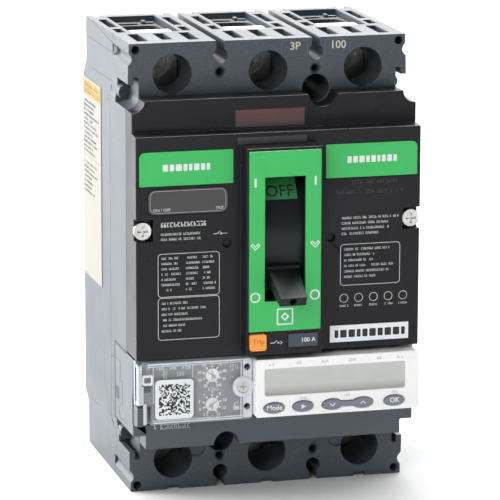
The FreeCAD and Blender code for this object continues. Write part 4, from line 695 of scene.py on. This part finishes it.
def plate_marks():
    """Generic bars on the plates, where the real ones carry names."""
    window = Print(front_face(PLATE_FACE))
    window.text("ON / OFF", -45.9, 24.7, 1.5, "LEFT", 0.02)
    window.text("TRIP", -20.4, 24.7, 1.5, "RIGHT", 0.02)
    window.frame(-46.9, 23.7, -19.6, 31.5, 2.0, 0.12)
    window.piece("indicator_print", "case", "white_print", "faint")
    labels = Print(front_face(PLATE_FACE))
    for centre, widths in ((-33.8, (1.9, 1.5, 2.2, 1.4, 1.2, 1.9, 1.5, 1.2)),
                           (34.0, (1.5, 1.7, 1.9, 1.3, 1.7, 1.0, 1.4, 1.7, 1.3))):
        u = centre - (sum(widths) + 0.6 * (len(widths) - 1)) / 2
        for width in widths:
            labels.fill(rounded_box(u, 38.5, u + width, 40.9, 0.3))
            u += width + 0.6
    labels.piece("label_bars", "case", "white_print", "white")
    plate = Print(front_face(PLATE_FACE))
    pick = random.Random(3)
    u = 20.6
    while u < 46.2:
        width = pick.choice((1.4, 1.9, 2.4))
        plate.fill(rounded_box(u, -25.0, u + width, -22.2, 0.35))
        u += width + 0.7
    plate.piece("marking_bars", "case", "handle_black", "black")


def turned_face(depth):
    """A front face read from the right: u runs up and v to the left."""
    return lambda u, v, height: at(-v, depth + height, u)


def dial_scale(marks, height, figures):
    """Nine wedges round a dial, each with its figure."""
    for number, figure in enumerate(figures):
        angle = math.radians(FIRST_TICK - number * TICK_STEP)
        along = Vector((math.cos(angle), math.sin(angle)))
        side = Vector((-along.y, along.x))
        wedge = (along * 2.6 - side * 0.26, along * 3.6 - side * 0.4, along * 3.6 + side * 0.4,
                 along * 2.6 + side * 0.26)
        marks.fill([(DIAL_X + point.x, height + point.y) for point in wedge])
        marks.text(str(figure), DIAL_X + along.x * 4.8, height + along.y * 4.5, 1.4, bold=0.06)


def panel_marks():
    """Rules, figures and dial scales on the trip unit."""
    marks = Print(front_face(PANEL_FACE))
    for words, u in ((">30", -43.2), (">90", -38.3), (">105", -33.2)):
        marks.text(words, u, -33.15, 1.6, bold=0.05)
    marks.bar(-41.8, -36.8, -41.5, -31.7)
    marks.bar(-31.2, -37.0, -30.9, -31.9)
    marks.small_print(-36.7, -34.6, -35.3, 1.4, 131)
    marks.small_print(-25.3, -22.0, -41.5, 1.3, 140)
    marks.small_print(-25.6, -21.4, -51.9, 1.1, 141)
    for height, figures in DIAL_SCALES:
        dial_scale(marks, height, figures)
    padlock(marks, -14.93, -48.7)
    marks.piece("panel_marks", "case", "white_print", "bright")
    columns = Print(turned_face(PANEL_FACE))
    for number, (u, low, high, height) in enumerate(((-47.2, -36.0, -32.6, 1.1), (-40.8, -36.9, -32.9, 1.1),
                                                     (-16.6, -38.1, -31.4, 1.3), (-14.9, -34.6, -32.6, 1.2))):
        columns.small_print(low, high, -u, height, 145 + number)
    columns.piece("panel_columns", "case", "white_print", "bright")
    row = Print(front_face(APRON_FACE))
    row.small_print(-45.7, -31.9, -55.4, 1.8, 150)
    row.piece("apron_print", "case", "white_print", "faint")


def padlock(marks, u, v):
    """A plain open padlock."""
    marks.fill(rounded_box(u - 1.1, v - 1.1, u + 1.1, v + 0.4, 0.15))
    marks.line([(u - 0.7, v + 0.4), (u - 0.7, v + 1.2), (u, v + 1.7), (u + 0.7, v + 1.2)], 0.3)


def dial_marks():
    """An arrow across each dial, from its tail to its head."""
    for name, body, height, turn in (("current", "current_setting", -36.4, -40.0),
                                     ("time", "time_setting", -47.1, 215.0)):
        arrow = Print(front_face(DIAL_FACE))
        along = Vector((math.cos(math.radians(turn)), math.sin(math.radians(turn))))
        side = Vector((-along.y, along.x))
        shape = (along * -2.1 - side * 0.22, along * 0.3 - side * 0.22, along * 0.3 - side * 0.9,
                 along * 1.9, along * 0.3 + side * 0.9, along * 0.3 + side * 0.22, along * -2.1 + side * 0.22)
        arrow.fill([(DIAL_X + point.x, height + point.y) for point in shape])
        arrow.piece(f"{name}_dial_mark", body, "key_grey", "dial")


def code_pattern():
    """A seeded pattern of squares that encodes nothing."""
    pattern = Print(front_face(CODE_FACE))
    pick = random.Random(717)
    left, low = CODE_CORNER
    for row in range(CODE_ROWS):
        for column in range(CODE_ROWS):
            if pick.random() < 0.48:
                u, v = left + column * CODE_CELL, low + row * CODE_CELL
                pattern.bar(u, v, u + CODE_CELL, v + CODE_CELL)
    pattern.piece("code_pattern", "clear_flap", "handle_black", "black")


def display_marks():
    marks = Print(front_face(DISPLAY_FACE))
    for number, u in enumerate((-4.0, 6.0, 16.0, 26.0, 36.0, 44.0)):
        marks.small_print(u - 1.2, u + 1.2, -32.3, 0.9, 150 + number)
    for number, u in enumerate((8.0, 24.5, 42.0)):
        marks.small_print(u - 1.4, u + 1.4, -45.2, 0.7, 160 + number)
    marks.piece("display_marks", "case", "key_grey", "faint")
    keys = (("mode_key", "mode_push", "Mode", -2.7), ("ok_key", "ok_push", "OK", 42.0))
    for name, body, words, u in keys:
        legend = Print(front_face(KEY_FACE))
        legend.text(words, u, -48.2, 2.5, bold=0.07)
        legend.piece(f"{name}_legend", body, "white_print", "white")
    arrow = Print(front_face(KEY_FACE))
    arrow.fill([(7.3, -49.2), (9.0, -48.3), (7.3, -47.4)])
    arrow.piece("right_key_legend", "right_push", "white_print", "white")
    chevrons = Print(front_face(KEY_FACE))
    chevrons.line([(17.9, -47.9), (18.9, -48.8), (19.9, -47.9)], 0.35)
    chevrons.line([(29.2, -48.7), (30.2, -47.8), (31.2, -48.7)], 0.35)
    chevrons.piece("down_up_key_legend", "rocker", "white_print", "white")


def side_marks():
    """The label on the left side: a coloured header and rows of small print."""
    header = Print(lambda u, v, height: left_face(u, v, height / 2))
    header.bar(1.6, 53.2, 30.2, 58.9)
    header.piece("side_label_header", "case", "label_paper", "yellow")
    letters = Print(lambda u, v, height: left_face(u, v, (height + INK_HEIGHT) / 2))
    letters.small_print(4.0, 27.0, 57.3, 1.5, 168)
    letters.small_print(3.0, 28.5, 55.0, 1.5, 169)
    letters.piece("side_header_print", "case", "label_paper", "amber")
    rows = Print(left_face)
    pick = random.Random(9)
    rows.paragraph(pick, 2.6, 14.0, 26.0, 51.0, 1.7, 0.8, 12, 170)
    rows.bar(1.6, 30.4, 30.2, 30.6)
    rows.paragraph(pick, 2.6, 10.0, 26.0, 28.0, 1.8, 0.8, 7, 190)
    rows.piece("side_label_print", "case", "handle_black", "slate")


# Small parts


def slab(loops, low, high, rounding, surface):
    """A plate with holes and rounded edges: the first loop is its outline, the others its holes."""
    curve = bpy.data.curves.new("slab", "CURVE")
    curve.dimensions, curve.fill_mode = "2D", "BOTH"
    curve.extrude = (high - low) / 2 - rounding
    curve.bevel_depth, curve.bevel_resolution, curve.offset = rounding, 2, -rounding
    for loop in loops:
        spline = curve.splines.new("POLY")
        spline.points.add(len(loop) - 1)
        spline.use_cyclic_u = True
        for point, (u, v) in zip(spline.points, loop):
            point.co = (u, v, 0.0, 1.0)
    holder = bpy.data.objects.new("slab", curve)
    bpy.context.scene.collection.objects.link(holder)
    flat = bpy.data.meshes.new_from_object(holder.evaluated_get(bpy.context.evaluated_depsgraph_get()))
    mesh = bmesh.new()
    mesh.from_mesh(flat)
    for vertex in mesh.verts:
        vertex.co = surface(vertex.co.x, vertex.co.y, (low + high) / 2 + vertex.co.z)
    bmesh.ops.remove_doubles(mesh, verts=mesh.verts, dist=1e-7)
    bmesh.ops.recalc_face_normals(mesh, faces=mesh.faces)
    bpy.data.objects.remove(holder)
    bpy.data.curves.remove(curve)
    bpy.data.meshes.remove(flat)
    return mesh


def lathe(profile, x, z, count=48):
    """A ring turned about the depth through (x, z); the profile is a closed list of (radius, depth)."""
    mesh = bmesh.new()
    rings = []
    for k in range(count):
        angle = math.tau * k / count
        rings.append([mesh.verts.new(at(x + radius * math.cos(angle), depth, z + radius * math.sin(angle)))
                      for radius, depth in profile])
    size = len(profile)
    for k in range(count):
        ring, after = rings[k], rings[(k + 1) % count]
        for j in range(size):
            mesh.faces.new([ring[j], after[j], after[(j + 1) % size], ring[(j + 1) % size]])
    bmesh.ops.recalc_face_normals(mesh, faces=mesh.faces)
    return mesh


def merge(target, part):
    """Move the faces of one mesh into another."""
    holder = bpy.data.meshes.new("part")
    part.to_mesh(holder)
    part.free()
    target.from_mesh(holder)
    bpy.data.meshes.remove(holder)


def end_face(side):
    """Seen along the height: u runs to the right, v forwards, and height outwards past the end."""
    return lambda u, v, height: at(u, v, side * height)


def beside(x, low_u, low_v, high_u, high_v, radius):
    """A rounded box placed about the middle of a pole."""
    return rounded_box(x + low_u, low_v, x + high_u, high_v, radius)


def wire_guides():
    """The liner in each end opening, a darker copy of the molding as painted shade: a rim around the wire's
    way in, a slot behind it with a black sheet under it as painted shade, and a clip.
    """
    liners, slot_shades, clips = bmesh.new(), bmesh.new(), bmesh.new()
    for x in POLES:
        for side in (1, -1):
            end = end_face(side)
            loops = [beside(x, *box) for box in (GUIDE_OUTLINE, GUIDE_SLOT, GUIDE_MOUTH)]
            merge(liners, slab(loops, *GUIDE_HEIGHTS, 0.35, end))
            # A black sheet under each slot as painted shade
            merge(slot_shades, slab([beside(x, *GUIDE_SHADE)], 76.4, 77.0, 0.1, end))
            for box, top in GUIDE_CLIPS:
                merge(clips, slab([beside(x, *box)], 79.0, top, 0.3, end))
    new_piece("wire_guides", liners, "case", "terminal_molding", SHADED_LINER)
    new_piece("wire_guide_slot_shade", slot_shades, "case", "handle_black", INKS["black"])
    new_piece("wire_guide_clips", clips, "case", "terminal_molding")


def block_pads():
    """Two raised fields on the line end, with a plain figure in each."""
    pads = Print(front_face(BLOCK_FACE))
    figures = Print(front_face(BLOCK_FACE))
    for words, u in BLOCK_FIGURES:
        pads.frame(u - PAD_HALF, PAD_LOW, u + PAD_HALF, PAD_HIGH, 0.5, 0.14)
        pads.bar(u - PAD_HALF + 0.3, PAD_LOW - 0.05, u + PAD_HALF - 0.3, PAD_LOW + 0.25)
        figures.text(words, u + 0.2, 78.4, 4.0, bold=0.05)
    pads.piece("block_pads", "case", "terminal_molding", "haze")
    figures.piece("block_figures", "case", "white_print", "cream")


def notch_shadows():
    """Painted shade on the inner faces of the notches in the four corners of the case."""
    studs, floors = Print(front_face(NOTCH_STUD_FACE)), Print(front_face(NOTCH_FLOOR))
    for flank in (-1, 1):
        for end in (-1, 1):
            studs.fill(circle(flank * NOTCH_STUD_X, end * NOTCH_STUD_Z, NOTCH_STUD_RADIUS))
            low_u, high_u = sorted((flank * 47.5, flank * 50.5))
            low_v, high_v = sorted((end * 62.6, end * 66.8))
            floors.bar(low_u, low_v, high_u, high_v)
    studs.piece("notch_stud_shade", "case", "terminal_molding", "shadow")
    floors.piece("notch_floor_shade", "case", "terminal_molding", "shadow")


def wall_seams():
    """The joints that show on both side walls of the case, painted shade in the notch near their top, and the
    trip unit's side catch.
    """
    for side, name in ((-1, "left"), (1, "right")):
        seams = Print(case_wall(side))
        for line in WALL_SEAMS:
            seams.line(line, 0.22)
        # Painted shade in the notch near the top of the wall
        seams.fill([(47.6, 77.6), (52.3, 77.5), (51.8, 75.8), (45.7, 73.9)])
        seams.fill([(52.8, -45.6), (57.8, -45.8), (57.8, -50.4), (52.8, -50.4)])
        seams.fill(circle(42.0, 57.4, 0.5, 12))
        seams.piece(f"{name}_wall_seams", "case", "terminal_molding", "shadow")


# Name, finish, front depth and boxes of the raised edges on the flap; the bright finish is a painted
# highlight
FLAP_EDGES = (
    ("flap_beads", "bright", 86.3, ((-48.0, -31.0, -13.3, -30.5), (-48.0, -31.7, -13.3, -31.4),
                                    (-46.0, -52.3, -13.3, -51.9), (-46.0, -51.5, -13.3, -51.2),
                                    (-14.0, -51.2, -13.7, -31.7))),
    ("flap_hinge_edge", "bright", 86.4, ((-51.95, -45.2, -50.95, -31.0), (-50.7, -45.2, -50.25, -30.6),
                                         (-50.0, -45.2, -49.6, -38.6))),
    ("flap_hinge_foot", "dull", 86.2, ((-49.6, -52.5, -48.4, -45.0),)),
    ("flap_rib", "dull", 86.15, ((-46.0, -45.0, -45.75, -31.8),)),
)
FLAP_BACK = 85.6


def flap_details():
    """The clear flap's thick hinge edge, its beads, its catch and its frosted screw tab; the edge, beads and
    catch are an opaque pale plastic as painted highlight.
    """
    face = front_face(0.0)
    for name, finish, top, boxes in FLAP_EDGES:
        mesh = bmesh.new()
        for box in boxes:
            merge(mesh, slab([rounded_box(*box, 0.12)], FLAP_BACK, top, 0.1, face))
        new_piece(name, mesh, "clear_flap", "clear_plastic", FROSTED_AND_HIGHLIGHT[finish])
    catch = slab([rounded_box(-50.0, -38.2, -46.1, -34.4, 0.7), rounded_box(-49.3, -37.3, -46.8, -35.3, 0.4)],
                 FLAP_BACK, 86.4, 0.2, face)
    new_piece("flap_catch", catch, "clear_flap", "clear_plastic", FROSTED_AND_HIGHLIGHT["bright"])
    # Painted shade: a black patch where the catch's recess is
    recess_shade = Print(front_face(PANEL_FACE))
    recess_shade.bar(-49.5, -41.4, -46.2, -38.0)
    recess_shade.piece("catch_recess_shade", "case", "unit_dark", "black")
    holes = [circle(SEAL_HOLE_X, height, 1.2, 24) for height in SEAL_HOLES]
    outline = rounded_box(-13.2, -52.2, -9.8, -30.4, 0.5)
    new_piece("flap_column", slab([outline] + holes, 85.5, 86.1, 0.2, face), "clear_flap", "clear_plastic",
              FROSTED_AND_HIGHLIGHT["dull"])
    ring = [(2.2, 86.1), (3.9, 86.1), (3.85, 86.3), (3.5, 86.6), (3.1, 86.8), (2.5, 86.8), (2.2, 86.6)]
    new_piece("flap_boss_ring", lathe(ring, *FLAP_BOSS), "clear_flap", "clear_plastic", FROSTED_AND_HIGHLIGHT["dull"])


# Room and camera


def studio():
    floor_mesh = bmesh.new()
    reach = 6.0
    level = cad_box[0][2]
    corners = [floor_mesh.verts.new((x, y, level)) for x, y in
               ((-reach, -reach), (reach, -reach), (reach, reach), (-reach, reach))]
    floor_mesh.faces.new(corners)
    data = bpy.data.meshes.new("floor")
    floor_mesh.to_mesh(data)
    floor_mesh.free()
    floor = bpy.data.objects.new("floor", data)
    bpy.context.scene.collection.objects.link(floor)
    data.materials.append(plastic("floor_look", (0.9, 0.9, 0.9), 0.8, 0.01, 5.0, 0.0))
    floor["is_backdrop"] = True


def soft_light(name, place, target, size, power, sheen_only):
    """A square light; a sheen-only one shows in gloss and doesn't brighten matt surfaces."""
    data = bpy.data.lights.new(name, "AREA")
    data.shape, data.size, data.energy = "SQUARE", size, power
    light = bpy.data.objects.new(name, data)
    light.location = place
    light.rotation_euler = (Vector(target) - Vector(place)).to_track_quat("-Z", "Y").to_euler()
    light.visible_camera = False
    light.visible_diffuse = not sheen_only
    bpy.context.scene.collection.objects.link(light)


def surroundings():
    """A white room, dim in front of the object and bright behind it, plain white to the camera."""
    world = bpy.data.worlds.new("studio")
    bpy.context.scene.world = world
    world.use_nodes = True
    tree = world.node_tree
    background = tree.nodes["Background"]
    background.inputs["Color"].default_value = (1.0, 1.0, 1.0, 1.0)
    coordinates = tree.nodes.new("ShaderNodeTexCoord")
    direction = tree.nodes.new("ShaderNodeSeparateXYZ")
    tree.links.new(coordinates.outputs["Generated"], direction.inputs["Vector"])
    glow = tree.nodes.new("ShaderNodeMapRange")
    glow.interpolation_type = "SMOOTHSTEP"
    for socket, amount in (("From Min", -0.3), ("From Max", 0.5),
                           ("To Min", FRONT_GLOW), ("To Max", BACK_GLOW)):
        glow.inputs[socket].default_value = amount
    tree.links.new(direction.outputs["Y"], glow.inputs["Value"])
    seen = tree.nodes.new("ShaderNodeLightPath")
    plain = tree.nodes.new("ShaderNodeMix")
    plain.inputs["B"].default_value = 1.0
    tree.links.new(seen.outputs["Is Camera Ray"], plain.inputs["Factor"])
    tree.links.new(glow.outputs["Result"], plain.inputs["A"])
    tree.links.new(plain.outputs["Result"], background.inputs["Strength"])


def lights():
    surroundings()
    for light in LIGHTS:
        soft_light(*light)


def camera():
    data = bpy.data.cameras.new("camera")
    data.lens, data.sensor_width = CAMERA_LENS, CAMERA_SENSOR
    data.clip_start, data.clip_end = 0.05, 30.0
    holder = bpy.data.objects.new("camera", data)
    target = Vector(CAMERA_TARGET)
    azimuth, elevation, roll = (math.radians(angle)
                                for angle in (CAMERA_AZIMUTH, CAMERA_ELEVATION, CAMERA_ROLL))
    back = Vector((math.sin(azimuth) * math.cos(elevation), -math.cos(azimuth) * math.cos(elevation),
                   math.sin(elevation)))
    across = Vector((0, 0, 1)).cross(back).normalized()
    turn = Matrix((across, back.cross(across), back)).transposed().to_4x4()
    place = Matrix.Translation(target + back * CAMERA_DISTANCE)
    holder.matrix_world = place @ turn @ Matrix.Rotation(roll, 4, "Z")
    bpy.context.scene.collection.objects.link(holder)
    bpy.context.scene.camera = holder


def write_sizes():
    boxes = {"cad": cad_box, "visual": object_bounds()}
    plain = {name: [list(map(float, corner)) for corner in corners] for name, corners in boxes.items()}


dress_frame()
for make in (bezel_marks, boss_marks, shield_marks, cover_marks, cover_patches, plate_marks, panel_marks,
             dial_marks, code_pattern, display_marks, side_marks, block_pads, notch_shadows, wall_seams,
             wire_guides, flap_details, studio, lights, camera):
    make()
bpy.context.scene.view_settings.view_transform = "Standard"
write_sizes()
